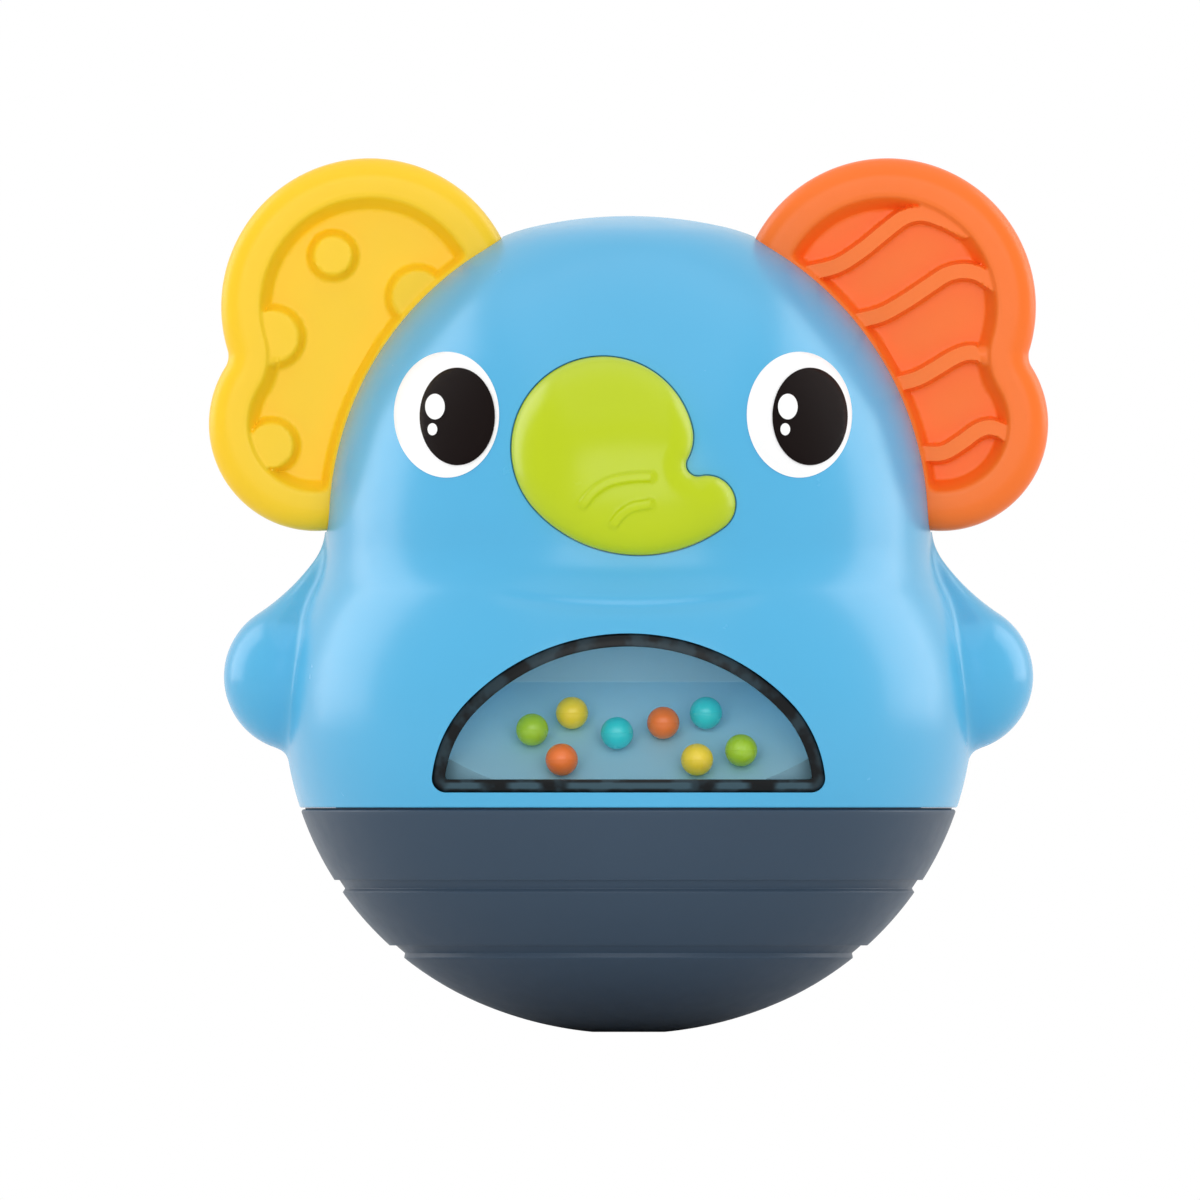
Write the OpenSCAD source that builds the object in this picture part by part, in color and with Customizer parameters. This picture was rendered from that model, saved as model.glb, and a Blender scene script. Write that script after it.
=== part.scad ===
// Roly poly toy in the shape of an elephant, in millimetres.
// Z points up from the flat foot, the face looks along -Y and the orange ear is on +X.

/* [Body] */
// Diameter of the belly at its widest
belly_d = 80.5; // [74:0.5:90]
// How far the belly's widest line lies below that of a full half ball
base_flatten = 2.25; // [1.5:0.25:4]
// How much larger the rolling radius of the bottom is than the belly's radius
roll_extra = 3.85; // [3:0.05:6]
// Diameter of the small flat that the toy stands on
foot_d = 8.4; // [6:0.2:10]
// Radius of the belly's side above its widest line
belly_r = 28.4; // [26:0.2:32]
// Radius of the hollow at the waist
waist_r = 10.8; // [9:0.2:13]
// How much smaller the head's radius is than the belly's
waist_step = 4.9; // [4:0.1:6]
// Height of the straight band between the waist and the head
head_band = 2.2; // [1.4:0.2:3.4]
// How far the crown lies above a half ball on the head's widest line
head_extra = 0.75; // [0:0.05:2]
// How far the crown is flattened below the head's full curve
crown_flat = 1.8; // [1.2:0.1:2.6]
// Radius of the crown
crown_r = 50; // [45:1:58]
// Radius between the crown and the side of the head
shoulder_r = 20; // [16:1:24]
// Wall of the two body halves
wall = 2; // [1.6:0.1:2.4]

/* [Arms] */
// Radius of the hand
hand_r = 8.75; // [7.5:0.05:9.5]
// How far the hand's centre lies inside the belly's radius
hand_in = 1.75; // [0.5:0.25:3]
// Height of the hand's centre above the belly's widest line
hand_rise = 3.5; // [2:0.25:5]
// Radius of the hollow between the hand and the shoulder
arm_neck_r = 25.7; // [22:0.1:30]
// Angle from the arm's axis at which that hollow starts on the hand
arm_neck_angle = 46.5; // [42:0.5:50]
// How far the shoulder's end lies inside the head's radius
shoulder_in = 0.5; // [0.2:0.1:1.2]

/* [Ears] */
// Thickness of an ear
ear_t = 10; // [8:0.2:12]
// Rounding of an ear's outer edge
ear_round = 2.6; // [1.6:0.1:3.2]
// Radius of the upper lobe
ear_up_r = 17.35; // [15.5:0.05:18.5]
// Angle of the upper lobe's centre on the head's curve
ear_up_angle = 37.8; // [35:0.2:41]
// How far the upper lobe's centre lies outside the head
ear_up_out = 3.6; // [2.5:0.1:5]
// Radius of the lower lobe
ear_low_r = 12.5; // [11.5:0.1:13.5]
// Angle of the lower lobe's centre on the head's curve
ear_low_angle = 16.8; // [14:0.2:19]
// How far the lower lobe's centre lies outside the head
ear_low_out = 2.9; // [2:0.1:4]
// Width of the rim around an ear's recess
ear_rim = 4.9; // [4:0.1:5.6]
// Depth of the recess on each face
ear_recess = 2.6; // [1.8:0.1:3.2]
// Height of the dots and waves above the recess floor
relief_h = 1.5; // [0.8:0.1:1.8]
// Width of a wave
wave_w = 1.9; // [1.4:0.1:2.4]
// How deep an ear reaches into the head
ear_tenon = 10; // [9:0.25:11.5]
// Clearance around an ear in its slot
ear_fit = 0.15; // [0.1:0.05:0.3]
// Radius of the posts that hold the ears
post_r = 1.8; // [1.5:0.1:2.1]
// Depth of the posts below the head's surface
post_in = 5.2; // [4.9:0.1:5.8]
// Angle on the head's curve of the post through the upper lobe
post_up_angle = 47; // [45:1:49]
// Angle on the head's curve of the post through the lower lobe
post_low_angle = 21; // [19:1:23]

/* [Trunk] */
// Angle of the trunk's middle on the head's curve
trunk_angle = 11; // [9:0.5:13]
// Radius of the trunk's upper round
trunk_r = 10.7; // [9.6:0.1:11.2]
// Radius of the trunk's lower edge
trunk_chin_r = 16.6; // [15.5:0.1:19]
// Radius of the trunk's tip
trunk_tip_r = 3.35; // [2.9:0.05:3.7]
// Radius of the notch above the tip
trunk_notch_r = 1.4; // [1:0.1:1.8]
// Height of the trunk's middle above the head
trunk_stand = 3.2; // [2.6:0.1:3.8]
// Radius of the trunk's crowned face
trunk_dome_r = 24; // [22:0.5:30]
// Depth of the seat that the trunk lies in
trunk_seat = 0.6; // [0.4:0.1:0.9]
// Gap around the trunk in its seat
trunk_fit = 0.2; // [0.1:0.05:0.3]
// Height of the two wrinkles
wrinkle_h = 0.5; // [0.3:0.1:0.8]
// Radius of the two wrinkles
wrinkle_r = 0.9; // [0.7:0.05:1.1]
// Depth of the stems' seats behind the head's front
stem_depth = 9.3; // [8.8:0.1:10]
// Radius of the stems behind the trunk
stem_r = 2.5; // [2.2:0.1:2.8]

/* [Eyes] */
// Angle around the head from the front to the middle of an eye
eye_turn = 35.65; // [33:0.05:37]
// Sideways shift of the pair of eyes
eye_shift = -0.65; // [-1:0.05:0]
// Height of the eyes above the head's widest line
eye_rise = 12.9; // [11:0.1:14]
// Half width of an eye
eye_w = 6.15; // [5.4:0.05:6.6]
// Half height of an eye
eye_h = 7.35; // [6.8:0.05:8]
// Half width of a pupil
pupil_w = 4.4; // [3.8:0.05:4.8]
// Half height of a pupil
pupil_h = 5.7; // [5:0.05:6]
// Thickness of one printed layer
print_t = 0.12; // [0.08:0.01:0.2]

/* [Window] */
// Angle around the belly from the front to the side of the window's frame
window_angle = 34.85; // [32:0.05:36]
// Height of the window's frame
window_h = 18.5; // [17.5:0.1:19.5]
// Radius of the frame's sides
window_side_r = 14.8; // [14:0.1:15.6]
// Radius of the frame's lower corners
window_corner_r = 1.6; // [1:0.1:2]
// Height of the frame above the joint with the base
window_rise = 1.9; // [1.7:0.1:3]
// Width of the frame seen from the front
bezel_w = 1.5; // [1.2:0.05:1.9]
// How far the frame's front lies below the belly's surface
bezel_sink = 0.25; // [0.1:0.05:0.4]
// Thickness of the frame in front of the lens
bezel_lip = 0.6; // [0.4:0.05:0.8]
// Width by which the frame holds the lens's edge
lens_hold = 0.65; // [0.4:0.05:0.8]
// Thickness of the lens
lens_t = 2.2; // [1.8:0.1:2.6]
// Width of the frame's flange behind the wall
flange_w = 1.2; // [0.9:0.1:1.6]
// Clearance between the window's pieces
window_fit = 0.05; // [0.04:0.01:0.08]

/* [Beads and tray] */
// Diameter of a bead
bead_d = 3.85; // [3.4:0.05:4]
// Clearance between a bead and the tray's slope
bead_fit = 0.1; // [0.05:0.01:0.2]
// Slope on which the beads roll
ramp_angle = 45; // [42:0.5:48]
// How far a bead's middle on the tray's floor lies behind the lens beside the outermost bead
bead_gap = 0.85; // [0.7:0.05:1.4]
// Depth of the tray from the belly's front
tray_depth = 21; // [20:0.1:22]
// Thickness of the tray's back and lugs
tray_t = 1.8; // [1.4:0.1:2.2]
// Angle of the tray's lugs around the window's arch
lug_angle = 51; // [48:1:54]
// Radius of a lug
lug_r = 3.3; // [3:0.1:3.6]

/* [Base] */
// How far the joint between body and base lies below the belly's widest line
seam_drop = 11.9; // [11:0.1:13]
// Gap at that joint
seam_gap = 0.2; // [0.1:0.05:0.3]
// Wall of the base
base_wall = 2.4; // [2:0.1:3]
// Height of the lower groove's bottom edge
groove_low_z = 8.75; // [8:0.05:9.5]
// Height of the upper groove's bottom edge
groove_up_z = 16.4; // [15:0.1:17.5]
// Height of a groove
groove_h = 1.25; // [0.9:0.05:1.6]
// Depth of a groove
groove_depth = 0.5; // [0.3:0.05:0.8]
// Depth of the body's lip that holds the base
lip_w = 1.8; // [1.4:0.1:2.2]
// Thickness of that lip
lip_t = 1.2; // [1:0.1:1.4]
// Wall of the collar inside the lip
collar_w = 2; // [1.6:0.1:2.4]
// Thickness of the collar's rim above the lip
collar_rim_t = 1.4; // [1.1:0.1:1.8]
// Clearance between lip and collar
collar_fit = 0.15; // [0.1:0.05:0.25]

/* [Weight] */
// Height of the counterweight's seat above the floor
weight_z = 9; // [8.8:0.1:10]
// Distance between the counterweight's side and the cover's screws
weight_gap = 5.5; // [5:0.1:6]
// Clearance around the counterweight
weight_fit = 0.3; // [0.2:0.05:0.5]
// Thickness of the cover over the counterweight
cover_t = 1.8; // [1.5:0.1:2.4]
// How far the cover's underside lies below the base's top edge
cover_drop = 4.9; // [4.7:0.1:6]
// Gap between the cover's edge and the base's wall
cover_gap = 3.35; // [2.8:0.05:5]
// Width of the cover beyond its screws
cover_edge = 4; // [3.6:0.1:4.6]

/* [Screws] */
// Diameter of the body screws
shell_screw_d = 2.6; // [2.2:0.1:3]
// Length of the body screws below the head
shell_screw_len = 14; // [12:0.5:16]
// Thickness of the seat under a body screw's head
screw_seat = 6; // [5.5:0.5:7]
// Height of the upper body screw below the crown
screw_top_drop = 8.8; // [8.4:0.2:10]
// Gap between the lower body screws' seats and the window's flange
screw_side_gap = 2.85; // [2.6:0.05:3.2]
// Height of the lower body screws above the joint with the base
screw_low_rise = 8.4; // [8.2:0.2:9.2]
// Diameter of the small screws inside
small_screw_d = 2.2; // [2:0.1:2.4]
// Length of the small screws below the head
small_screw_len = 7; // [6.5:0.25:8]
// Radial clearance of a screw in its hole
screw_fit = 0.05; // [0.03:0.01:0.1]

/* [Hidden] */
$fn = 96;
// Angle between the points on a drawn arc
arc_step = 5;

// Colours
sky_blue = "#63B6DF";
navy = "#3C4D5F";
sun_yellow = "#FFD23E";
coral_orange = "#FF8347";
lime = "#BED215";
smoke = "#2C3033";
tray_blue = "#67889B";
leaf_green = "#96C332";
bead_yellow = "#F5CD3C";
bead_orange = "#F0732D";
turquoise = "#32C3CD";
steel = "#8C9094";

// The body's outline is a chain of arcs that run smoothly into each other.
belly_rad = belly_d / 2;
belly_z = belly_rad - base_flatten;
roll_r = belly_rad + roll_extra;
foot_r = foot_d / 2;
roll_z = sqrt(pow(roll_r, 2) - pow(foot_r, 2));
low_r = belly_rad + roll_extra / 2 - pow(roll_z - belly_z, 2) / (2 * roll_extra);
head_rad = belly_rad - waist_step;
waist_z = belly_z + sqrt(2 * (belly_r + waist_r) * waist_step - pow(waist_step, 2));
head_z = waist_z + head_band;
dome_h = head_rad + head_extra + crown_flat;
head_top = head_z + dome_h - crown_flat;
head_r = (pow(head_rad, 2) + pow(dome_h, 2)) / (2 * head_rad);

crown_c = [0, head_top - crown_r];
head_c = [head_rad - head_r, head_z];
waist_c = [head_rad + waist_r, waist_z];
belly_c = [belly_rad - belly_r, belly_z];
low_c = [belly_rad - low_r, belly_z];
roll_c = [0, roll_z];
shoulder_c = crossing(crown_c, crown_r - shoulder_r, head_c, head_r - shoulder_r);
crown_a = heading(crown_c, shoulder_c);
shoulder_a = heading(head_c, shoulder_c);
belly_a = heading(belly_c, waist_c);
roll_a = heading(roll_c, low_c);

// Point at radius r and angle a about c
function polar(c, r, a) = c + r * [cos(a), sin(a)];
// Angle from p to q
function heading(p, q) = atan2(q[1] - p[1], q[0] - p[0]);
// Points along an arc about c, without its last one
function arc(c, r, from, to) =
    let (n = max(1, ceil(abs(to - from) / arc_step)))
    [for (i = [0:n - 1]) polar(c, r, from + (to - from) * i / n)];
// Right-hand crossing of two circles
function crossing(p, rp, q, rq) =
    let (d = norm(q - p), u = (q - p) / d, a = (d * d + rp * rp - rq * rq) / (2 * d))
    p + a * u + sqrt(rp * rp - a * a) * [u[1], -u[0]];

// Centre of the arc from p to q that bows to the left by bow
function bow_centre(p, q, bow) =
    let (half = norm(q - p) / 2, along = (q - p) / (2 * half), left = [-along[1], along[0]])
    (p + q) / 2 + left * (bow * bow - half * half) / (2 * bow);

// Points along that arc, without its last one
function bow_arc(p, q, bow) =
    let (c = bow_centre(p, q, bow), a = heading(c, p), turn = (heading(c, q) - a + 540) % 360 - 180)
    arc(c, norm(p - c), a, a + turn);
// Outline of a stroke of width w along pts, with round ends
function stroke(pts, w) =
    let (
        last = len(pts) - 1,
        along = [for (i = [0:last]) pts[min(i + 1, last)] - pts[max(i - 1, 0)]],
        side = [for (t = along) w / 2 * [-t[1], t[0]] / norm(t)],
        start_a = heading([0, 0], side[0]),
        end_a = heading([0, 0], side[last])
    )
    concat(
        [for (i = [0:last - 1]) pts[i] + side[i]],
        arc(pts[last], w / 2, end_a, end_a - 180),
        [for (i = [last:-1:1]) pts[i] - side[i]],
        arc(pts[0], w / 2, start_a + 180, start_a)
    );

// Radius of the belly below its widest line at height z
function low_side(z) = low_c[0] + sqrt(pow(low_r, 2) - pow(z - belly_z, 2));

// Heights along the body
seam_z = belly_z - seam_drop;
shell_z = seam_z + seam_gap / 2;
base_top = seam_z - seam_gap / 2;
lip_top = shell_z + lip_t;
reach = belly_d;

// Ears and their posts, on the right-hand side
ear_up_c = polar(head_c, head_r + ear_up_out, ear_up_angle);
ear_low_c = polar(head_c, head_r + ear_low_out, ear_low_angle);
post_pts = [for (a = [post_up_angle, post_low_angle]) polar(head_c, head_r - post_in, a)];
post_shoulder_w = 1.6;
post_shoulder_r = post_r + post_shoulder_w;
post_end = 4;
post_reach = ear_t / 2 + post_end;
relief_lap = 1;
relief_step = 0.2;
recess_gap = 0.6;
ear_floor_t = ear_t - 2 * ear_recess;
// Dots on the yellow ear: lobe, place from its centre, radius
dots = [
    [ear_up_c, [4.3, 6], 3.05],
    [ear_up_c, [-5.6, 1.2], 3.85],
    [ear_up_c, [11.3, -3.5], 3.85],
    [ear_low_c, [5.2, -2.5], 3.4]
];
// Waves on the orange ear: lobe, start, turn and end from its centre, and the two bows
waves = [
    [ear_up_c, [-9.3, 4.4], [-0.4, 8.4], [8.2, 9.2], [-0.9, 1.9]],
    [ear_up_c, [-2.8, -1.3], [4, 1.6], [11.9, 3.5], [-0.7, 1.5]],
    [ear_low_c, [-4.7, 5], [0.2, 6.5], [5.5, 8.2], [-0.4, 0.9]],
    [ear_low_c, [-2, -3.4], [2.4, -2], [7.5, -0.9], [-0.5, 1.2]]
];

function wave_path(w) =
    concat(bow_arc(w[1], w[2], w[4][0]), bow_arc(w[2], w[3], w[4][1]), [w[3]]);

// Trunk outline, from the trunk's middle
trunk_z = head_z + head_r * sin(trunk_angle);
trunk_top_c = [-3, 1.75];
trunk_tip_c = [9.15, -4.8];
trunk_notch_c = crossing(
    trunk_tip_c, trunk_tip_r + trunk_notch_r, trunk_top_c, trunk_r + trunk_notch_r);
trunk_chin_c = crossing(
    trunk_tip_c, trunk_chin_r - trunk_tip_r, trunk_top_c, trunk_chin_r - trunk_r);
trunk_dome_at = head_r + trunk_stand - trunk_dome_r;
trunk_dome_c = [
    0,
    -(head_c[0] + trunk_dome_at * cos(trunk_angle)),
    head_z + trunk_dome_at * sin(trunk_angle)
];
trunk_back_fit = 0.05;
wrinkles = [[[-5.3, -4.8], [2.6, -1.5], 1.5], [[-1.7, -7.1], [2.4, -4.8], 0.9]];
stem_pts = [[-4.5, trunk_z + 5], [3, trunk_z - 5]];
stem_boss_w = 2;
stem_boss_r = stem_r + stem_boss_w;
stem_fit = 0.1;
stem_boss_y = stem_depth - head_rad;
stem_short = 0.6;

// Eyes
eye_z = head_z + eye_rise;
eye_pts = [for (side = [-1, 1]) [eye_shift + side * head_rad * sin(eye_turn), eye_z]];
print_gap = 0.02;
pupil_at = [1.25, -0.2];
glints = [[[-1.35, 0.95], 1.15, 1.5], [[-1.65, -1.7], 0.57, 0.71]];

// Window: the arch is one flat round between two smaller ones
window_w = belly_d * sin(window_angle);
window_z = seam_z + window_rise;
arch_lift = 0.25;
least_corner_r = 0.2;
arch_z = window_z + arch_lift;
side_x = window_w / 2 - window_side_r;
arch_rise = window_h - arch_lift - window_side_r;
arch_drop = (pow(side_x, 2) - pow(arch_rise, 2)) / (2 * arch_rise);
arch_r = window_h - arch_lift + arch_drop;
arch_c = [0, arch_z - arch_drop];
lens_front = bezel_sink + bezel_lip;
lens_back = lens_front + lens_t;

// Beads: place across and height above the tray's floor
green_left = [-11.25, 5.8];
yellow_left = [-6.6, 7.75];
orange_left = [-7.8, 2.3];
turquoise_left = [-1.35, 5.4];
orange_right = [4.05, 6.6];
turquoise_right = [9.05, 7.75];
yellow_right = [8, 2.3];
green_right = [13.15, 3.4];

// Tray behind the window
tray_front = lens_back + window_fit;
tray_back_y = tray_depth - belly_rad;
tray_floor = window_z + bezel_w;
lug_boss_r = 2.5;
lug_gap = 0.4;
lug_c = polar(arch_c, arch_r + flange_w + lug_gap + lug_boss_r, lug_angle);
lug_pts = [lug_c, [-lug_c[0], lug_c[1]]];
bead_r = bead_d / 2;
bead_lens_r = low_side(tray_floor + bead_r) - lens_back;
bead_floor_y = bead_gap - sqrt(pow(bead_lens_r, 2) - pow(green_right[0], 2));
ramp_drop = (bead_r + bead_fit) / cos(ramp_angle);
// Height of the slope below the beads at depth y
function ramp_z(y) = tray_floor + bead_r + (y - bead_floor_y) * tan(ramp_angle) - ramp_drop;
function bead_y(h) = bead_floor_y + (h - bead_r) / tan(ramp_angle);

// Screws
screw_boss_w = 1.7;
shell_boss_r = shell_screw_d / 2 + screw_boss_w;
driver_gap = 0.3;
well_r = shell_screw_d + driver_gap;
well_w = 1.2;
well_boss_r = well_r + well_w;
screw_low_z = seam_z + screw_low_rise;
screw_side_x = window_w / 2 + flange_w + screw_side_gap + shell_boss_r;
shell_screw_pts = [
    [0, head_top - screw_top_drop], [screw_side_x, screw_low_z], [-screw_side_x, screw_low_z]
];
pilot_spare = 1;
seat_gap = 0.02;

// Cover and counterweight inside the base
cover_angles = [90, 210, 330];
cover_z = base_top - cover_drop;
cover_r = low_side(cover_z) - base_wall - cover_gap;
cover_screw_r = cover_r - cover_edge;
weight_d = 2 * (cover_screw_r - weight_gap);
weight_top_gap = 0.1;
weight_h = cover_z - weight_top_gap - weight_z;

// Shapes that several pieces use

// Half outline of the body, drawn in from the outer surface by inset
module body_profile(inset) {
    foot = [sqrt(pow(roll_r - inset, 2) - pow(roll_z - inset, 2)), inset];
    polygon(concat(
        [[0, inset]],
        arc(roll_c, roll_r - inset, heading(roll_c, foot), roll_a),
        arc(low_c, low_r - inset, roll_a, 0),
        arc(belly_c, belly_r - inset, 0, belly_a),
        arc(waist_c, waist_r + inset, belly_a + 180, 180),
        [[head_rad - inset, waist_z]],
        arc(head_c, head_r - inset, 0, shoulder_a),
        arc(shoulder_c, shoulder_r - inset, shoulder_a, crown_a),
        arc(crown_c, crown_r - inset, crown_a, 90),
        [[0, head_top - inset]]
    ));
}

// Layer of the outline between two insets and two heights
module skin_profile(outer, inner, low, high) {
    intersection() {
        difference() {
            body_profile(outer);
            body_profile(inner);
        }
        translate([0, low]) square([reach, high - low]);
    }
}

module body_solid(inset) {
    rotate_extrude() body_profile(inset);
}

module rear_half() {
    rotate_extrude(angle = 180) children();
}

module front_half() {
    mirror([0, 1, 0]) rear_half() children();
}

module both_sides() {
    children();
    mirror([1, 0, 0]) children();
}

// Round bar along Y
module rod(r, from, to) {
    translate([0, from, 0]) rotate([-90, 0, 0]) cylinder(r = r, h = to - from);
}

// Flat shape in X and Z, drawn out along Y
module slab(from, to) {
    translate([0, to, 0]) rotate([90, 0, 0]) linear_extrude(to - from) children();
}

module at_points(pts) {
    for (p = pts) translate([p[0], 0, p[1]]) children();
}

module at_ear_posts() {
    both_sides() at_points(post_pts) children();
}

module oval(w, h) {
    n = 360 / arc_step / 2;
    polygon([for (i = [0:n - 1]) [w * cos(360 * i / n), h * sin(360 * i / n)]]);
}

// Pan-head screw along Y with a cross recess, its head's seat at y = 0
module screw(d, len) {
    head_r = d * 0.95;
    head_h = d * 0.7;
    slot_w = d * 0.22;
    slot_l = d * 1.1;
    difference() {
        union() {
            rod(head_r, seat_gap, head_h);
            rod(d / 2, -len, head_h / 2);
        }
        for (a = [0, 90]) rotate([0, a, 0])
            translate([-slot_l / 2, head_h * 0.45, -slot_w / 2]) cube([slot_l, head_h, slot_w]);
    }
}

// Body halves

// Half outline of an arm along its axis, from the hand to the shoulder
module arm_profile(inset, len) {
    neck_r = arm_neck_r + inset;
    neck_c = (hand_r + arm_neck_r) * [sin(arm_neck_angle), cos(arm_neck_angle)];
    neck_x = neck_c[0] - sqrt(pow(neck_r, 2) - pow(len - neck_c[1], 2));
    axis_z = neck_c[1] - sqrt(pow(neck_r, 2) - pow(min(neck_c[0], neck_r), 2));
    neck_end = neck_x > 0 ? [neck_x, len] : [0, axis_z];
    polygon(concat(
        arc([0, 0], hand_r - inset, -90, 90 - arm_neck_angle),
        arc(neck_c, neck_r, 270 - arm_neck_angle, 360 + heading(neck_c, neck_end)),
        [neck_end],
        neck_x > 0 ? [[0, len]] : []
    ));
}

// Arm on the right, turned about the line from the hand to the shoulder
module arm(inset, turn) {
    hand = [belly_rad - hand_in, belly_z + hand_rise];
    shoulder = [head_rad - shoulder_in, waist_z];
    line = shoulder - hand;
    translate([hand[0], 0, hand[1]]) rotate([0, atan2(line[0], line[1]), 0])
        rotate_extrude(angle = turn) arm_profile(inset, norm(line));
}

// Rear half of the hollow body with its arms and the lip that holds the base
module half_skin() {
    difference() {
        union() {
            rear_half() {
                skin_profile(0, wall, shell_z, head_top);
                skin_profile(wall / 2, wall + lip_w, shell_z, lip_top);
            }
            both_sides() difference() {
                arm(0, 180);
                body_solid(wall / 2);
            }
        }
        both_sides() arm(wall, 360);
    }
}

module front_shell() {
    color(sky_blue) difference() {
        union() {
            mirror([0, 1, 0]) half_skin();
            intersection() {
                body_solid(wall / 2);
                union() {
                    at_points(shell_screw_pts) rod(shell_boss_r, -reach, 0);
                    at_ear_posts() rod(post_shoulder_r, -reach, -ear_t / 2 - ear_fit);
                    at_points(stem_pts) rod(stem_boss_r, -reach, stem_boss_y);
                    at_points(lug_pts) rod(lug_boss_r, -reach, tray_back_y - tray_t - window_fit);
                }
            }
        }
        both_sides() ear_blank(ear_fit);
        at_points(shell_screw_pts)
            rod(shell_screw_d / 2 + screw_fit, screw_seat - shell_screw_len - pilot_spare, 1);
        at_ear_posts() rod(post_r + stem_fit, -post_reach - pilot_spare, 0);
        slab(-reach, tray_back_y) window_outline(window_fit);
        difference() {
            slab(-reach, stem_boss_y) trunk_outline(trunk_fit);
            body_solid(trunk_seat);
        }
        at_points(stem_pts) rod(stem_r + stem_fit, -reach, 0);
        at_points(lug_pts)
            rod(small_screw_d / 2 + screw_fit, tray_back_y - small_screw_len - pilot_spare, 0);
    }
}

module rear_shell() {
    color(sky_blue) {
        difference() {
            union() {
                half_skin();
                intersection() {
                    body_solid(wall / 2);
                    union() {
                        at_points(shell_screw_pts) rod(well_boss_r, 0, reach);
                        at_ear_posts() rod(post_shoulder_r, ear_t / 2 + ear_fit, reach);
                    }
                }
            }
            both_sides() ear_blank(ear_fit);
            at_points(shell_screw_pts) {
                rod(shell_screw_d / 2 + screw_fit, -1, reach);
                rod(well_r, screw_seat, reach);
            }
        }
        at_ear_posts() rod(post_r, -post_reach, ear_t / 2 + ear_fit + wall);
    }
}

module shell_screws() {
    color(steel) at_points(shell_screw_pts)
        translate([0, screw_seat, 0]) screw(shell_screw_d, shell_screw_len);
}

// Ears

module lobe(c, r, grow) {
    round_r = ear_round + grow;
    half_t = ear_t / 2 + grow;
    translate([c[0], 0, c[1]]) rotate([90, 0, 0]) rotate_extrude() {
        translate([0, -half_t]) square([r - ear_round, 2 * half_t]);
        translate([0, round_r - half_t]) square([r + grow, 2 * (half_t - round_r)]);
        for (s = [-1, 1]) intersection() {
            translate([r - ear_round, s * (half_t - round_r)]) circle(round_r);
            translate([0, -half_t]) square([r + grow, 2 * half_t]);
        }
    }
}

// Ear on the right without its recesses, grown all round
module ear_blank(grow) {
    difference() {
        union() {
            lobe(ear_up_c, ear_up_r, grow);
            lobe(ear_low_c, ear_low_r, grow);
        }
        translate([head_c[0], 0, head_c[1]]) rod(head_r - ear_tenon - grow, -ear_t, ear_t);
    }
}

// Ear on the right, whose relief is drawn flat and raised on both faces
module ear() {
    difference() {
        ear_blank(0);
        for (s = [0, 1]) mirror([0, s, 0]) slab(ear_floor_t / 2, ear_t) difference() {
            union() {
                translate(ear_up_c) circle(ear_up_r - ear_rim);
                translate(ear_low_c) circle(ear_low_r - ear_rim);
            }
            translate(head_c) circle(head_r + recess_gap);
        }
        at_points(post_pts) rod(post_r + stem_fit, -ear_t, ear_t);
    }
    slab(-ear_floor_t / 2 - relief_h, ear_floor_t / 2 + relief_h) intersection() {
        children();
        difference() {
            union() {
                translate(ear_up_c) circle(ear_up_r - ear_rim + relief_lap);
                translate(ear_low_c) circle(ear_low_r - ear_rim + relief_lap);
            }
            translate(head_c) circle(head_r + recess_gap - relief_step);
        }
    }
}

module left_ear() {
    color(sun_yellow) mirror([1, 0, 0]) ear()
        for (d = dots) translate(d[0] + d[1]) circle(d[2]);
}

module right_ear() {
    color(coral_orange) ear() for (w = waves) translate(w[0]) polygon(stroke(wave_path(w), wave_w));
}

// Trunk

// The outline runs over the top round, along the chin, around the tip and through the notch.
module trunk_outline(grow) {
    notch_a = heading(trunk_top_c, trunk_notch_c);
    chin_a = heading(trunk_chin_c, trunk_top_c);
    tip_a = heading(trunk_chin_c, trunk_tip_c);
    lip_a = heading(trunk_tip_c, trunk_notch_c);
    translate([0, trunk_z]) polygon(concat(
        arc(trunk_top_c, trunk_r + grow, notch_a, chin_a + 360),
        arc(trunk_chin_c, trunk_chin_r + grow, chin_a, tip_a),
        arc(trunk_tip_c, trunk_tip_r + grow, tip_a, lip_a),
        arc(trunk_notch_c, trunk_notch_r - grow, lip_a + 180, notch_a + 180)
    ));
}

// Rounded ridge on the crowned face along the arc from p to q
module wrinkle(p, q, bow) {
    c = bow_centre(p, q, bow);
    r = norm(p - c);
    turn = heading(c, q);
    crest = polar(c, r, (turn + heading(c, p)) / 2) + [0, trunk_z] - [trunk_dome_c[0], trunk_dome_c[2]];
    face_y = trunk_dome_c[1] - sqrt(pow(trunk_dome_r, 2) - pow(norm(crest), 2));
    translate([c[0], face_y + wrinkle_r - wrinkle_h, trunk_z + c[1]]) rotate([90, 0, 0]) {
        rotate(turn) rotate_extrude(angle = heading(c, p) - turn) translate([r, 0]) circle(wrinkle_r);
        for (a = [turn, heading(c, p)]) translate(polar([0, 0], r, a)) sphere(wrinkle_r);
    }
}

module trunk() {
    color(lime) difference() {
        union() {
            difference() {
                intersection() {
                    slab(-reach, stem_boss_y) trunk_outline(0);
                    translate(trunk_dome_c) sphere(trunk_dome_r);
                }
                body_solid(trunk_seat - trunk_back_fit);
            }
            for (w = wrinkles) wrinkle(w[0], w[1], w[2]);
            intersection() {
                at_points(stem_pts) rod(stem_r, -reach, stem_boss_y - stem_short);
                translate(trunk_dome_c) sphere(trunk_dome_r - wrinkle_h);
            }
        }
        at_points(stem_pts)
            rod(small_screw_d / 2 + screw_fit, stem_boss_y - small_screw_len - pilot_spare, 0);
    }
}

module trunk_screws() {
    washer_r = stem_boss_r - 0.6;
    washer_t = 0.6;
    color(steel) at_points(stem_pts) translate([0, stem_boss_y, 0]) {
        screw(small_screw_d, small_screw_len);
        rod(washer_r, seat_gap, washer_t);
    }
}

// Eyes, printed on the head in three layers

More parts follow.
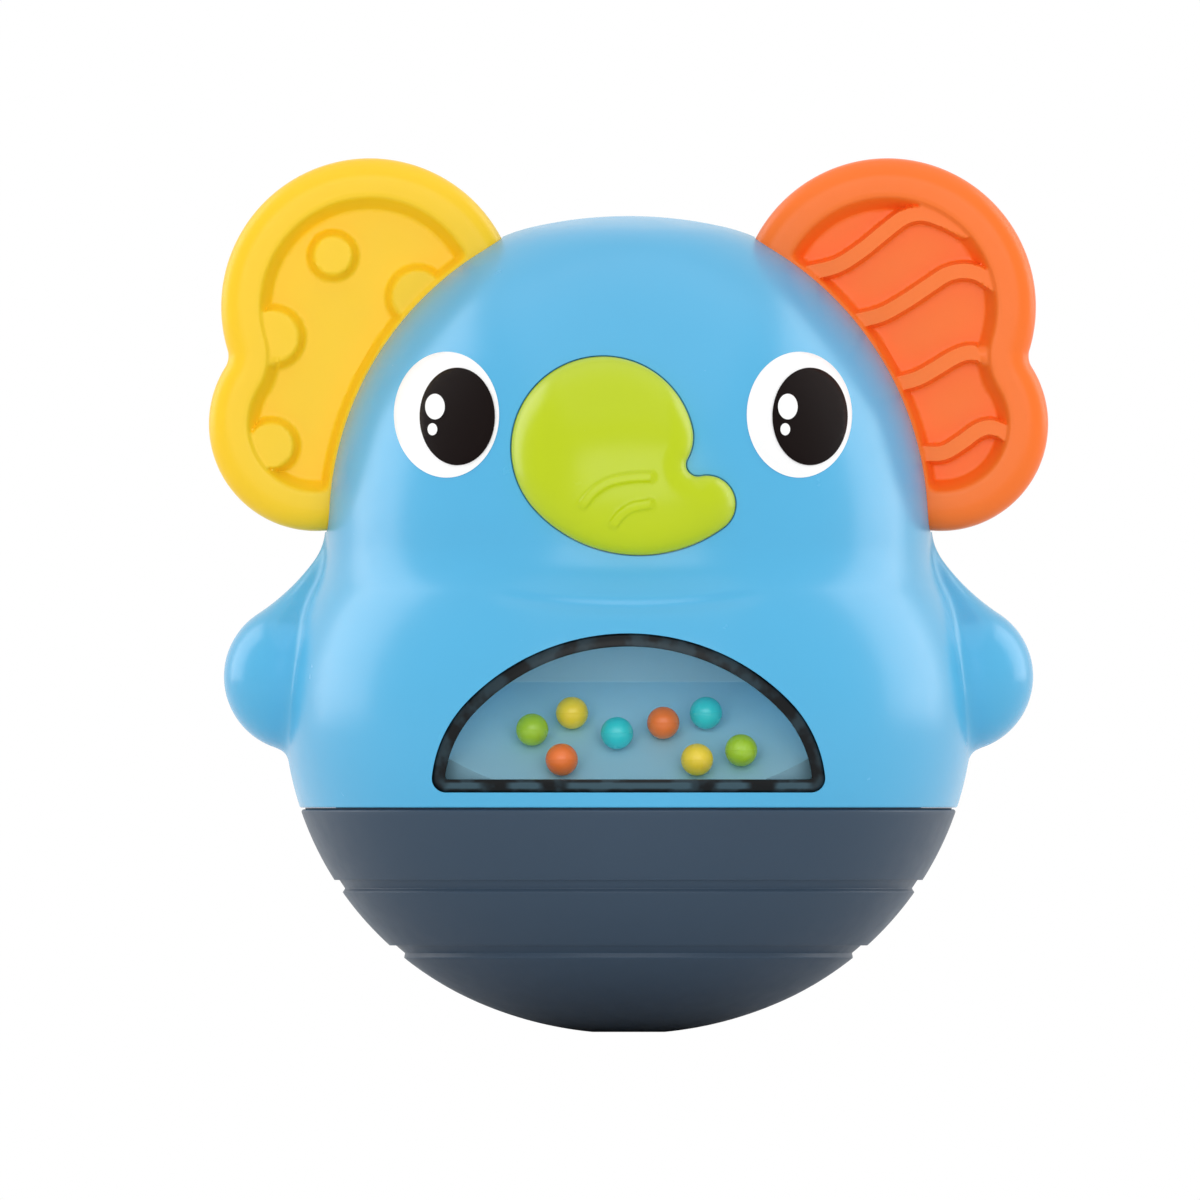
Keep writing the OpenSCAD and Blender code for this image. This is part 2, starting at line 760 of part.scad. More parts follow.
module printed(layer) {
    low = layer * (print_t + print_gap) + print_gap;
    intersection() {
        front_half() skin_profile(-low - print_t, -low, eye_z - eye_h - 1, eye_z + eye_h + 1);
        slab(-reach, 0) for (p = eye_pts) translate(p) children();
    }
}

module eye_whites() {
    color("white") printed(0) oval(eye_w, eye_h);
}

module eye_pupils() {
    color("#231816") printed(1) translate(pupil_at) oval(pupil_w, pupil_h);
}

module eye_glints() {
    color("white") printed(2) for (g = glints) translate(g[0]) oval(g[1], g[2]);
}

// Window and tray

module window_outline(grow) {
    side_r = window_side_r + grow;
    side_c = [side_x, arch_z];
    corner_r = max(window_corner_r + grow, least_corner_r);
    corner_rise = window_z - grow + corner_r - arch_z;
    corner_c = side_c + [sqrt(pow(side_r - corner_r, 2) - pow(corner_rise, 2)), corner_rise];
    corner_a = heading(side_c, corner_c);
    arch_a = heading(arch_c, side_c);
    right = concat(
        arc(corner_c, corner_r, -90, corner_a),
        arc(side_c, side_r, corner_a, arch_a),
        arc(arch_c, arch_r + grow, arch_a, 90)
    );
    last = len(right) - 1;
    polygon(concat(
        right,
        [arch_c + [0, arch_r + grow]],
        [for (i = [last:-1:0]) [-right[i][0], right[i][1]]]
    ));
}

// Curved plate of the window's outline between two depths below the belly's surface
module window_plate(outer, inner) {
    intersection() {
        front_half() skin_profile(outer, inner, shell_z, waist_z);
        slab(-reach, 0) children();
    }
}

module above_window_foot() {
    intersection() {
        children();
        translate([-reach, window_z]) square([2 * reach, reach]);
    }
}

module window_bezel() {
    color(smoke) {
        window_plate(bezel_sink, lens_front) difference() {
            window_outline(0);
            window_outline(-bezel_w);
        }
        window_plate(bezel_sink + bezel_lip / 2, lens_back) difference() {
            window_outline(0);
            window_outline(lens_hold - bezel_w);
        }
        window_plate(wall + window_fit, lens_back) above_window_foot() difference() {
            window_outline(flange_w);
            window_outline(lens_hold - bezel_w);
        }
    }
}

module window_lens() {
    color("#9FC3D2", 0.35) {
        window_plate(bezel_sink, lens_front + lens_t / 2) window_outline(-bezel_w - window_fit);
        window_plate(lens_front + window_fit, lens_back)
            window_outline(lens_hold - bezel_w - window_fit);
    }
}

module bead_tray() {
    inner_back_y = tray_back_y - tray_t;
    ramp_foot_y = bead_floor_y + (ramp_drop - bead_r) / tan(ramp_angle);
    color(tray_blue) difference() {
        union() {
            intersection() {
                slab(-reach, tray_back_y) above_window_foot() window_outline(flange_w);
                body_solid(tray_front);
            }
            slab(tray_back_y - tray_t, tray_back_y) both_sides() {
                translate(lug_c) circle(lug_r);
                translate(lug_c) rotate(lug_angle + 90)
                    translate([-lug_r, 0]) square([2 * lug_r, lug_r + tray_t]);
            }
        }
        intersection() {
            slab(-reach, inner_back_y) window_outline(-bezel_w);
            translate([-reach, 0, 0]) rotate([90, 0, 90]) linear_extrude(2 * reach) polygon([
                [-reach, tray_floor],
                [ramp_foot_y, tray_floor],
                [inner_back_y, ramp_z(inner_back_y)],
                [inner_back_y, head_top],
                [-reach, head_top]
            ]);
        }
        at_points(lug_pts) rod(small_screw_d / 2 + screw_fit, -reach, 0);
    }
}

module tray_screws() {
    color(steel) at_points(lug_pts)
        translate([0, tray_back_y, 0]) screw(small_screw_d, small_screw_len);
}

module bead(place) {
    translate([place[0], bead_y(place[1]), tray_floor + place[1]]) sphere(bead_r);
}

module bead_green_left() { color(leaf_green) bead(green_left); }
module bead_yellow_left() { color(bead_yellow) bead(yellow_left); }
module bead_orange_left() { color(bead_orange) bead(orange_left); }
module bead_turquoise_left() { color(turquoise) bead(turquoise_left); }
module bead_orange_right() { color(bead_orange) bead(orange_right); }
module bead_turquoise_right() { color(turquoise) bead(turquoise_right); }
module bead_yellow_right() { color(bead_yellow) bead(yellow_right); }
module bead_green_right() { color(leaf_green) bead(green_right); }

// Base and counterweight

module base_profile() {
    collar_out = wall + lip_w + collar_fit;
    collar_in = collar_out + collar_w;
    shelf_t = base_wall * 0.75;
    rim_low = lip_top + collar_fit;
    pedestal_r = weight_d / 4;
    pedestal_w = 2;
    ring_r = weight_d / 2 + weight_fit;
    ring_w = 1.5;
    ring_h = weight_h / 3;
    difference() {
        skin_profile(0, base_wall, 0, base_top);
        for (z = [groove_low_z, groove_up_z])
            skin_profile(-1, groove_depth, z, z + groove_h);
    }
    skin_profile(base_wall / 2, collar_in, base_top - shelf_t, base_top);
    skin_profile(collar_out, collar_in, base_top - shelf_t, rim_low + collar_rim_t);
    skin_profile(wall + collar_fit, collar_in, rim_low, rim_low + collar_rim_t);
    intersection() {
        body_profile(base_wall / 2);
        union() {
            translate([pedestal_r, 0]) square([pedestal_w, weight_z]);
            translate([ring_r, 0]) square([ring_w, weight_z + ring_h]);
        }
    }
}

module at_cover_screws(z) {
    for (a = cover_angles) rotate(a) translate([cover_screw_r, 0, z]) children();
}

module base_bowl() {
    cover_boss_r = small_screw_d / 2 + screw_boss_w;
    notch_w = window_w + 2 * flange_w + 2;
    color(navy) difference() {
        union() {
            rotate_extrude() base_profile();
            intersection() {
                body_solid(base_wall / 2);
                at_cover_screws(0) cylinder(r = cover_boss_r, h = cover_z);
            }
        }
        at_cover_screws(cover_z - small_screw_len - pilot_spare)
            cylinder(r = small_screw_d / 2 + screw_fit, h = reach);
        // Room for the tray in the collar's rim
        translate([-notch_w / 2, -reach, lip_top + collar_fit]) cube([notch_w, reach, reach]);
    }
}

module counterweight() {
    chamfer = 1;
    r = weight_d / 2;
    h = weight_h;
    color(steel) translate([0, 0, weight_z + seat_gap]) rotate_extrude() polygon([
        [0, 0], [r - chamfer, 0], [r, chamfer], [r, h - chamfer], [r - chamfer, h], [0, h]
    ]);
}

module weight_cover() {
    rib_r = weight_d / 4;
    rib_w = 1.6;
    color(smoke) difference() {
        union() {
            translate([0, 0, cover_z + seat_gap]) cylinder(r = cover_r, h = cover_t);
            translate([0, 0, cover_z + cover_t / 2]) difference() {
                cylinder(r = rib_r + rib_w, h = cover_t);
                translate([0, 0, -1]) cylinder(r = rib_r, h = cover_t + 2);
            }
        }
        at_cover_screws(0) cylinder(r = small_screw_d / 2 + screw_fit, h = reach);
    }
}

module cover_screws() {
    color(steel) at_cover_screws(cover_z + seat_gap + cover_t)
        rotate([90, 0, 0]) screw(small_screw_d, small_screw_len);
}

front_shell();
rear_shell();
base_bowl();
counterweight();
weight_cover();
left_ear();
right_ear();
trunk();
window_bezel();
window_lens();
bead_tray();
bead_green_left();
bead_yellow_left();
bead_orange_left();
bead_turquoise_left();
bead_orange_right();
bead_turquoise_right();
bead_yellow_right();
bead_green_right();
shell_screws();
trunk_screws();
tray_screws();
cover_screws();
eye_whites();
eye_pupils();
eye_glints();
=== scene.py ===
import math
from types import SimpleNamespace

import bmesh
import bpy
import numpy as np
from bpy.props import FloatProperty, FloatVectorProperty, PointerProperty
from bpy.types import Operator, Panel, PropertyGroup
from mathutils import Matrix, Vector, geometry, kdtree


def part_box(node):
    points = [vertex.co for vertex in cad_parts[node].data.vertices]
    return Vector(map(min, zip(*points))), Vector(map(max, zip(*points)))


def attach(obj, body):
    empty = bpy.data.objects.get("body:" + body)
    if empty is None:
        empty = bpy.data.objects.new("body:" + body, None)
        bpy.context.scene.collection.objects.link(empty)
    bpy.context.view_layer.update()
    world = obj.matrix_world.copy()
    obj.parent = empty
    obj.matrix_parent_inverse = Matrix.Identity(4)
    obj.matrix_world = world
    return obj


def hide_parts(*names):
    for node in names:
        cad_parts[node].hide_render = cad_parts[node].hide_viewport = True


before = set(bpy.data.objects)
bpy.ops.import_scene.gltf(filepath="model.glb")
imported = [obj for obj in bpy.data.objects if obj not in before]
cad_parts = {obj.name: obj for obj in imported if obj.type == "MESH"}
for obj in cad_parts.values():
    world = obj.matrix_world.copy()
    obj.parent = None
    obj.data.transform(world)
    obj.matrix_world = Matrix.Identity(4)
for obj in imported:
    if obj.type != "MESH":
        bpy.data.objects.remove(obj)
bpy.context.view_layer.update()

bl_info = {
    "name": "Roly poly toy",
    "version": (1, 0, 0),
    "blender": (4, 5, 0),
    "location": "View3D > Sidebar > Toy",
    "description": "Builds the elephant-shaped roly poly toy piece by piece",
    "category": "Add Mesh",
}

MM = 0.001
BEADS = (
    "green_left", "yellow_left", "orange_left", "turquoise_left",
    "orange_right", "turquoise_right", "yellow_right", "green_right",
)
WHITE = (1, 1, 1, 1)

# Details that follow no size in the panel, with lengths in millimetres
TRIANGLE_H = 0.866        # height of a lattice triangle whose side is 1
BAND_POINTS = 40          # points on the straight band below the head
EDGE_ROWS = 4             # rows of mesh in the rounded edge at the seam
ROW_STEPS = ((31, 0.3), (37, 0.25), (60, 0.3), (200, 0.8))  # height up to which a row's step holds
ARM_TURN = 24             # degrees at each side that hold an arm
ARM_LOW, ARM_HIGH = 30.5, 62
PARTING_LINE = 0.08       # depth of the line between the body halves
CREASE_Z, CREASE_RISE, CREASE_AT = 49.6, 1.3, 15
CREASE_SOFT, CREASE_HALF, CREASE_FADE = 0.7, 12, 5
FAR = 60.0                # past every surface of the toy
SCREW_OUT = 1.2 + 2.85 + 3  # flange, gap and boss radius beside the window
SCREW_RISE, SCREW_DROP = 8.4, 8.8
WELL_WALL, SCREW_HOLE_R = 1.2, 1.35
EAR_STEP, SLOT_SPARE = 0.22, 0.02
HEAD_SLOPE = (0.1, 0.9)   # start and width of the recess's slope at the head
EAR_RINGS = (0.12, 0.35, 0.7, 1.1, 1.6, 2.1, 2.6, 3.2, 3.8, 4.3, 4.5, 4.75, 5, 5.25, 5.5, 5.7, 5.85, 6)
DOT_SIDE, WAVE_SIDE = 0.85, 0.42
DOTS = (                  # lobe, place and radius
    ("up", (4.3, 6), 3.05), ("up", (-5.6, 1.2), 3.85), ("up", (11.3, -3.5), 3.85), ("low", (5.2, -2.5), 3.4))
WAVES = (                 # lobe and points
    ("up", (
        (-9.4, 3.9), (-5.9, 4.8), (-3, 6.6), (-0.4, 8.7), (1.9, 10.4), (4, 10.9), (6.2, 10.3), (9, 8.9))),
    ("up", (
        (-3.8, -1.7), (-0.7, -0.9), (2.2, 0.7), (4.9, 2.5), (7, 3.8), (9, 4.2), (10.8, 3.8), (12.7, 2.5))),
    ("low", (
        (-5.7, 4.5), (-2.8, 5.3), (-0.6, 6.5), (1.4, 7.7), (3, 8.3), (4.3, 8.2), (5.7, 7.5), (7.3, 6.4))),
    ("low", (
        (-2.8, -3.4), (0.1, -3.4), (2.3, -2.2), (4.1, -0.9), (5.5, -0.4), (6.9, -0.7), (8.1, -1.6))))
TRUNK_TOP, TRUNK_TIP = (-3, 1.75), (9.15, -4.8)
WRINKLES = (
    ((-5.3, -4.8), (-4, -3.3), (-2.2, -2.2), (0.2, -1.7), (2.5, -1.6)),
    ((-1.7, -7.1), (-0.9, -6.1), (0.4, -5.2), (2.4, -4.8)))
PUPIL_AT, GLINTS = (1.25, -0.2), (((-1.35, 0.95), 1.15, 1.5), ((-1.65, -1.7), 0.57, 0.71))
PRINT_GAP = 0.02
# Spans of X, in millimetres, of the painted reflections along the window frame's lower bar
REFLECTION_DASHES = ((-21.3, -17.3), (-14, -10.4), (-7.15, 7.15), (10.4, 14), (17.3, 21.3))
# Heights of the tray's painted light, from low on its floor up to the fold with its back wall, where painted
# shade begins
TRAY_LOW, TRAY_FOLD = 28, 41
BEAD_RIDGE = 0.03         # height of the moulding line around a bead
FLOOR_R = 2000
AMBIENT, BACKDROP = 0.48, 1.0  # strength of the world as a light and as it is seen

# The same in metres
GRAIN_H = 0.00005         # depth of the plastic's grain
LIT_PLACE = (0, 0, 0.05)  # place that the lamps face
FLOOR_FADE = (0.07, 0.19)  # distances between which the floor turns white


# Properties

def length(name, description, mm):
    return FloatProperty(
        name=name, description=description, default=mm * MM, precision=5, unit="LENGTH", subtype="DISTANCE")


def angle(name, description, degrees):
    return FloatProperty(
        name=name, description=description, default=math.radians(degrees), unit="ROTATION", subtype="ANGLE")


def linear(level):
    level /= 255
    return level / 12.92 if level <= 0.04045 else ((level + 0.055) / 1.055) ** 2.4


def colour(name, description, red, green, blue):
    return FloatVectorProperty(
        name=name, description=description, default=(linear(red), linear(green), linear(blue)),
        size=3, min=0, max=1, subtype="COLOR")


class BodySizes(PropertyGroup):
    """Outline of the body, which all pieces follow."""
    belly_d: length("Belly diameter", "Diameter of the belly at its widest", 80.5)
    base_flatten: length("Base flattening", "How far the widest line lies below that of a half ball", 2.25)
    roll_extra: length("Rolling extra", "How much larger the rolling radius is than the belly's", 3.85)
    foot_d: length("Foot diameter", "Diameter of the flat foot", 8.4)
    belly_r: length("Belly side radius", "Radius of the belly's side above its widest line", 28.4)
    waist_r: length("Waist radius", "Radius of the hollow at the waist", 10.8)
    waist_step: length("Waist step", "How much smaller the head's radius is than the belly's", 4.9)
    head_band: length("Head band", "Height of the straight band below the head", 2.2)
    head_extra: length("Head extra", "How far the crown lies above a half ball", 0.75)
    crown_flat: length("Crown flattening", "How far the crown is flattened", 1.8)
    crown_r: length("Crown radius", "Radius of the crown", 50)
    shoulder_r: length("Shoulder radius", "Radius between crown and side of the head", 20)
    wall: length("Wall", "Wall of the body halves", 2)
    seam_drop: length("Seam drop", "How far the seam lies below the belly's widest line", 11.9)
    seam_gap: length("Seam gap", "Gap between body and base", 0.2)
    edge: length("Edge rounding", "Rounding of the edges at the seam", 0.3)
    crease: length("Crease depth", "Depth of the soft crease below the face", 0.25)
    well_r: length("Screw well radius", "Radius of the screw wells in the back", 2.9)
    well_seat: length("Screw seat", "Depth of the screws' seats behind the parting plane", 6)


class ArmSizes(PropertyGroup):
    """The two arms."""
    hand_r: length("Hand radius", "Radius of the hand", 8.75)
    hand_in: length("Hand inset", "How far the hand's centre lies inside the belly", 1.75)
    hand_rise: length("Hand rise", "Height of the hand above the belly's widest line", 3.5)
    neck_r: length("Hollow radius", "Radius of the hollow above the hand", 25.7)
    neck_angle: angle("Hollow angle", "Angle on the hand where the hollow starts", 46.5)
    shoulder_in: length("Shoulder inset", "How far the arm's end lies inside the head's radius", 0.5)
    blend: length("Blend", "Width of the soft corner between arm and body", 1.3)


class EarSizes(PropertyGroup):
    """The two ears."""
    thick: length("Thickness", "Thickness of an ear", 10)
    edge: length("Edge rounding", "Rounding of the outer edge", 2.6)
    up_r: length("Upper radius", "Radius of the upper lobe", 17.35)
    up_angle: angle("Upper angle", "Angle of the upper lobe on the head", 37.8)
    up_out: length("Upper distance", "How far the upper lobe's centre lies outside the head", 3.6)
    low_r: length("Lower radius", "Radius of the lower lobe", 12.5)
    low_angle: angle("Lower angle", "Angle of the lower lobe on the head", 16.8)
    low_out: length("Lower distance", "How far the lower lobe's centre lies outside the head", 2.9)
    notch_r: length("Notch radius", "Radius of the notch between the lobes", 2.4)
    rim: length("Rim", "Width of the rim up to the recess", 4.45)
    slope: length("Recess slope", "Width of the recess's sloped wall", 1.5)
    recess: length("Recess", "Depth of the recess", 2.6)
    relief: length("Relief", "Height of the dots and waves above the floor", 2.15)
    wave_w: length("Wave width", "Width of a wave", 2.5)
    tenon: length("Tenon", "How deep an ear reaches into the head", 9)
    fit: length("Fit", "Clearance of an ear in its slot", 0.15)


class TrunkSizes(PropertyGroup):
    """The trunk on the face."""
    middle: angle("Middle", "Angle of the trunk's middle on the head", 11)
    top_r: length("Top radius", "Radius of the upper round", 10.7)
    chin_r: length("Chin radius", "Radius of the lower edge", 16.6)
    tip_r: length("Tip radius", "Radius of the tip", 3.35)
    notch_r: length("Notch radius", "Radius of the notch above the tip", 1.4)
    stand: length("Stand", "Height of the middle above the head", 3.2)
    dome_r: length("Dome radius", "Radius of the crowned face", 24)
    corner_r: length("Corner radius", "Radius of the round beside the notch", 5)
    notch_cut: length("Notch distance", "How far the notch's centre lies outside the upper round", 0.57)
    edge: length("Edge width", "Width of the rounded edge", 3.2)
    drop: length("Edge drop", "Height of the rounded edge", 1.9)
    seat: length("Seat", "Depth of the seat in the head", 0.5)
    fit: length("Fit", "Gap around the trunk in its seat", 0.14)
    wrinkle: length("Wrinkle height", "Height of the two wrinkles", 0.4)
    wrinkle_w: length("Wrinkle width", "Width of the two wrinkles", 1.1)


class EyeSizes(PropertyGroup):
    """The printed eyes."""
    turn: angle("Turn", "Angle around the head to the middle of an eye", 35.65)
    shift: length("Shift", "Sideways shift of the pair", -0.65)
    rise: length("Rise", "Height above the head's widest line", 12.9)
    white_w: length("White half width", "Half width of an eye", 6.15)
    white_h: length("White half height", "Half height of an eye", 7.35)
    pupil_w: length("Pupil half width", "Half width of a pupil", 4.4)
    pupil_h: length("Pupil half height", "Half height of a pupil", 5.7)
    layer: length("Layer", "Thickness of a printed layer", 0.12)


class WindowSizes(PropertyGroup):
    """The belly window."""
    turn: angle("Turn", "Angle around the belly to the frame's side", 34.85)
    high: length("Height", "Height of the frame", 18.5)
    side_r: length("Side radius", "Radius of the frame's sides", 14.8)
    corner_r: length("Corner radius", "Radius of the lower corners", 1.6)
    rise: length("Rise", "Height of the frame above the seam", 1.9)
    bezel_w: length("Frame width", "Width of the frame", 1.5)
    sink: length("Sink", "How far the frame lies below the belly's surface", 0.25)
    depth: length("Depth", "Depth of the frame", 3.05)
    fit: length("Fit", "Clearance of the window's pieces", 0.05)


class BaseSizes(PropertyGroup):
    """The rounded base."""
    wall: length("Wall", "Wall of the base", 2.4)
    low_z: length("Lower groove", "Height of the lower groove", 8.75)
    up_z: length("Upper groove", "Height of the upper groove", 16.4)
    groove_h: length("Groove height", "Height of a groove", 1.25)
    groove: length("Groove depth", "Depth of a groove", 0.5)
    soft: length("Groove edge", "Width of the soft edge of a groove", 0.22)
    lip_in: length("Lip inset", "How far the raised lip lies inside the outline", 0.55)
    lip_h: length("Lip height", "Height of the raised lip, which closes the seam", 0.17)
    shelf: length("Shelf", "Thickness of the shelf below the collar", 1.8)
    collar_in: length("Collar inset", "How far the collar lies inside the outline", 3.95)
    collar_w: length("Collar wall", "Wall of the collar", 2)
    collar_h: length("Collar height", "Height of the collar above the base's edge", 1.4)


class ToyColours(PropertyGroup):
    """Colours of the pieces."""
    body: colour("Body", "Sky blue of the body", 78, 177, 223)
    base: colour("Base", "Navy of the base", 58, 75, 93)
    yellow: colour("Yellow ear", "Yellow of the left ear", 255, 206, 36)
    orange: colour("Orange ear", "Orange of the right ear", 252, 118, 38)
    trunk: colour("Trunk", "Lime of the trunk", 188, 207, 2)
    white: colour("Eye white", "White of the eyes", 250, 250, 250)
    black: colour("Pupil", "Dark print of the pupils", 20, 12, 11)
    smoke: colour("Window frame", "Smoked plastic of the frame", 17, 20, 22)
    # Colour of the painted reflections in the window frame
    reflection_streak: colour("Frame streak", "Lighter places in the frame", 60, 84, 95)
    lens: colour("Lens", "Tint of the clear lens", 110, 140, 150)
    tray: colour("Tray", "Pale blue of the tray", 156, 208, 230)
    bead_green: colour("Green bead", "Green of two beads", 168, 214, 32)
    bead_yellow: colour("Yellow bead", "Yellow of two beads", 255, 222, 44)
    bead_orange: colour("Orange bead", "Orange of two beads", 255, 124, 34)
    bead_turquoise: colour("Turquoise bead", "Turquoise of two beads", 46, 216, 222)
    steel: colour("Steel", "Zinc-plated steel of the screws", 196, 198, 200)
    iron: colour("Iron", "Turned iron of the counterweight", 138, 140, 143)
    cover: colour("Weight cover", "Dark plastic over the counterweight", 44, 48, 51)


GROUPS = {
    "toy_body": BodySizes, "toy_arm": ArmSizes, "toy_ear": EarSizes, "toy_trunk": TrunkSizes,
    "toy_eye": EyeSizes, "toy_window": WindowSizes, "toy_base": BaseSizes, "toy_colours": ToyColours,
}


def sizes(context, name):
    """Sizes of one group, lengths in millimetres and angles in radians."""
    group = getattr(context.scene, name)
    found = {}
    for key in group.__annotations__:
        unit = group.bl_rna.properties[key].unit
        found[key] = getattr(group, key) / (MM if unit == "LENGTH" else 1)
    return SimpleNamespace(**found)


# Flat geometry, in millimetres

def polar(c, r, a):
    return np.array([c[0] + r * math.cos(a), c[1] + r * math.sin(a)])


def heading(p, q):
    return math.atan2(q[1] - p[1], q[0] - p[0])


def arc(c, r, start, end, step=0.1):
    count = max(2, int(abs(end - start) * r / step))
    a = np.linspace(start, end, count, endpoint=False)
    return np.stack([c[0] + r * np.cos(a), c[1] + r * np.sin(a)], axis=1)


def crossing(p, rp, q, rq):
    """Right-hand crossing of two circles, looking from p to q."""
    p, q = np.array(p, float), np.array(q, float)
    d = np.linalg.norm(q - p)
    u = (q - p) / d
    a = (d * d + rp * rp - rq * rq) / (2 * d)
    return p + a * u + math.sqrt(rp * rp - a * a) * np.array([u[1], -u[0]])


def distance_along(line):
    """Distance along a line to each of its points."""
    return np.concatenate([[0], np.cumsum(np.linalg.norm(np.diff(line, axis=0), axis=1))])


def sampled(places, along, line):
    """Points of a line at the given places along it."""
    return np.stack([np.interp(places, along, line[:, k]) for k in (0, 1)], axis=1)


def closed(loop):
    return np.vstack([loop, loop[:1]])


def respaced(loop, step):
    """Closed outline with even steps."""
    along = distance_along(closed(loop))
    places = np.linspace(0, along[-1], int(along[-1] / step), endpoint=False)
    return sampled(places, along, closed(loop))


def left_of(t):
    """Unit vectors to the left of each direction."""
    return np.stack([-t[:, 1], t[:, 0]], axis=1) / np.linalg.norm(t, axis=1)[:, None]


def inside(points, loop):
    x, z = points[:, 0][:, None], points[:, 1][:, None]
    a, b = loop, np.roll(loop, -1, axis=0)
    rises = (a[:, 1] > z) != (b[:, 1] > z)
    span = np.where(b[:, 1] == a[:, 1], 1, b[:, 1] - a[:, 1])
    at = a[:, 0] + (z - a[:, 1]) / span * (b[:, 0] - a[:, 0])
    return np.sum(rises & (x < at), axis=1) % 2 == 1


def nearest(points, others):
    """Number of the nearest of the other points, for each point."""
    tree = kdtree.KDTree(len(others))
    for i, p in enumerate(others):
        tree.insert((p[0], p[1], 0), i)
    tree.balance()
    return np.array([tree.find((p[0], p[1], 0))[1] for p in points], int)


def distances(points, line):
    """Distance from each point to the nearest place on a finely drawn line."""
    near = nearest(points, line)
    best = np.full(len(points), np.inf)
    for step in (-1, 1):
        start = line[near]
        along = line[np.clip(near + step, 0, len(line) - 1)] - start
        share = np.sum((points - start) * along, axis=1) / np.maximum(np.sum(along ** 2, axis=1), 1e-12)
        gap = points - start - np.clip(share, 0, 1)[:, None] * along
        best = np.minimum(best, np.linalg.norm(gap, axis=1))
    return best


def smooth(t):
    t = np.clip(t, 0, 1)
    return t * t * (3 - 2 * t)


def eased(t):
    """Ramp from 0 to 1 with slightly softened ends."""
    return 0.7 * np.clip(t, 0, 1) + 0.3 * smooth(t)


def beside(line, offsets):
    """Points beside a line at each of the offsets."""
    side = left_of(np.gradient(line, axis=0))
    return np.vstack([line + o * side for o in offsets])


def curve(points, count=120):
    """Smooth line through the points."""
    p = np.array(points, float)
    p = np.vstack([2 * p[0] - p[1], p, 2 * p[-1] - p[-2]])
    t = np.linspace(0, 1, count, endpoint=False)[:, None]
    spans = []
    for a, b, c, d in zip(p, p[1:], p[2:], p[3:]):
        spans.append(b + 0.5 * t * (c - a + t * (2 * a - 5 * b + 4 * c - d + t * (3 * (b - c) + d - a))))
    return np.vstack(spans + [p[-2:-1]])


def filled(loop, spacing, rings=(), extras=()):
    """Triangles in an anticlockwise outline: its points first, then rings, extra points and a lattice."""
    normals = left_of(np.roll(loop, -1, axis=0) - np.roll(loop, 1, axis=0))
    dense = respaced(loop, 0.05)
    points = [loop]
    for depth in rings:
        ring = loop + depth * normals
        ring = ring[inside(ring, loop)]
        points.append(ring[distances(ring, dense) > 0.9 * depth])
    lo, hi = loop.min(axis=0), loop.max(axis=0)
    rows = np.arange(lo[1], hi[1], spacing * TRIANGLE_H)
    lattice = np.array([
        (x + spacing / 2 * (i % 2), z) for i, z in enumerate(rows) for x in np.arange(lo[0], hi[0], spacing)])
    lattice = lattice[inside(lattice, loop)]
    margin = max(rings, default=0) + spacing * 0.6
    lattice = lattice[distances(lattice, dense) > margin]
    if len(extras):
        extra = extras[inside(extras, loop)]
        extra = extra[distances(extra, dense) > margin - spacing * 0.3]
        _, first = np.unique(np.round(extra / 0.1), axis=0, return_index=True)
        extra = extra[np.sort(first)]
        points.append(extra)
        lattice = lattice[np.linalg.norm(lattice - extra[nearest(lattice, extra)], axis=1) > spacing * 0.5]
    points.append(lattice)
    points = np.vstack(points)
    count = len(loop)
    edges = [(i, (i + 1) % count) for i in range(count)]
    verts, _, faces, *_ = geometry.delaunay_2d_cdt([Vector(p) for p in points], edges, [], 1, 1e-6)
    if len(verts) != len(points):
        raise RuntimeError("An outline has points that touch")
    return np.array([(v.x, v.y) for v in verts]), faces


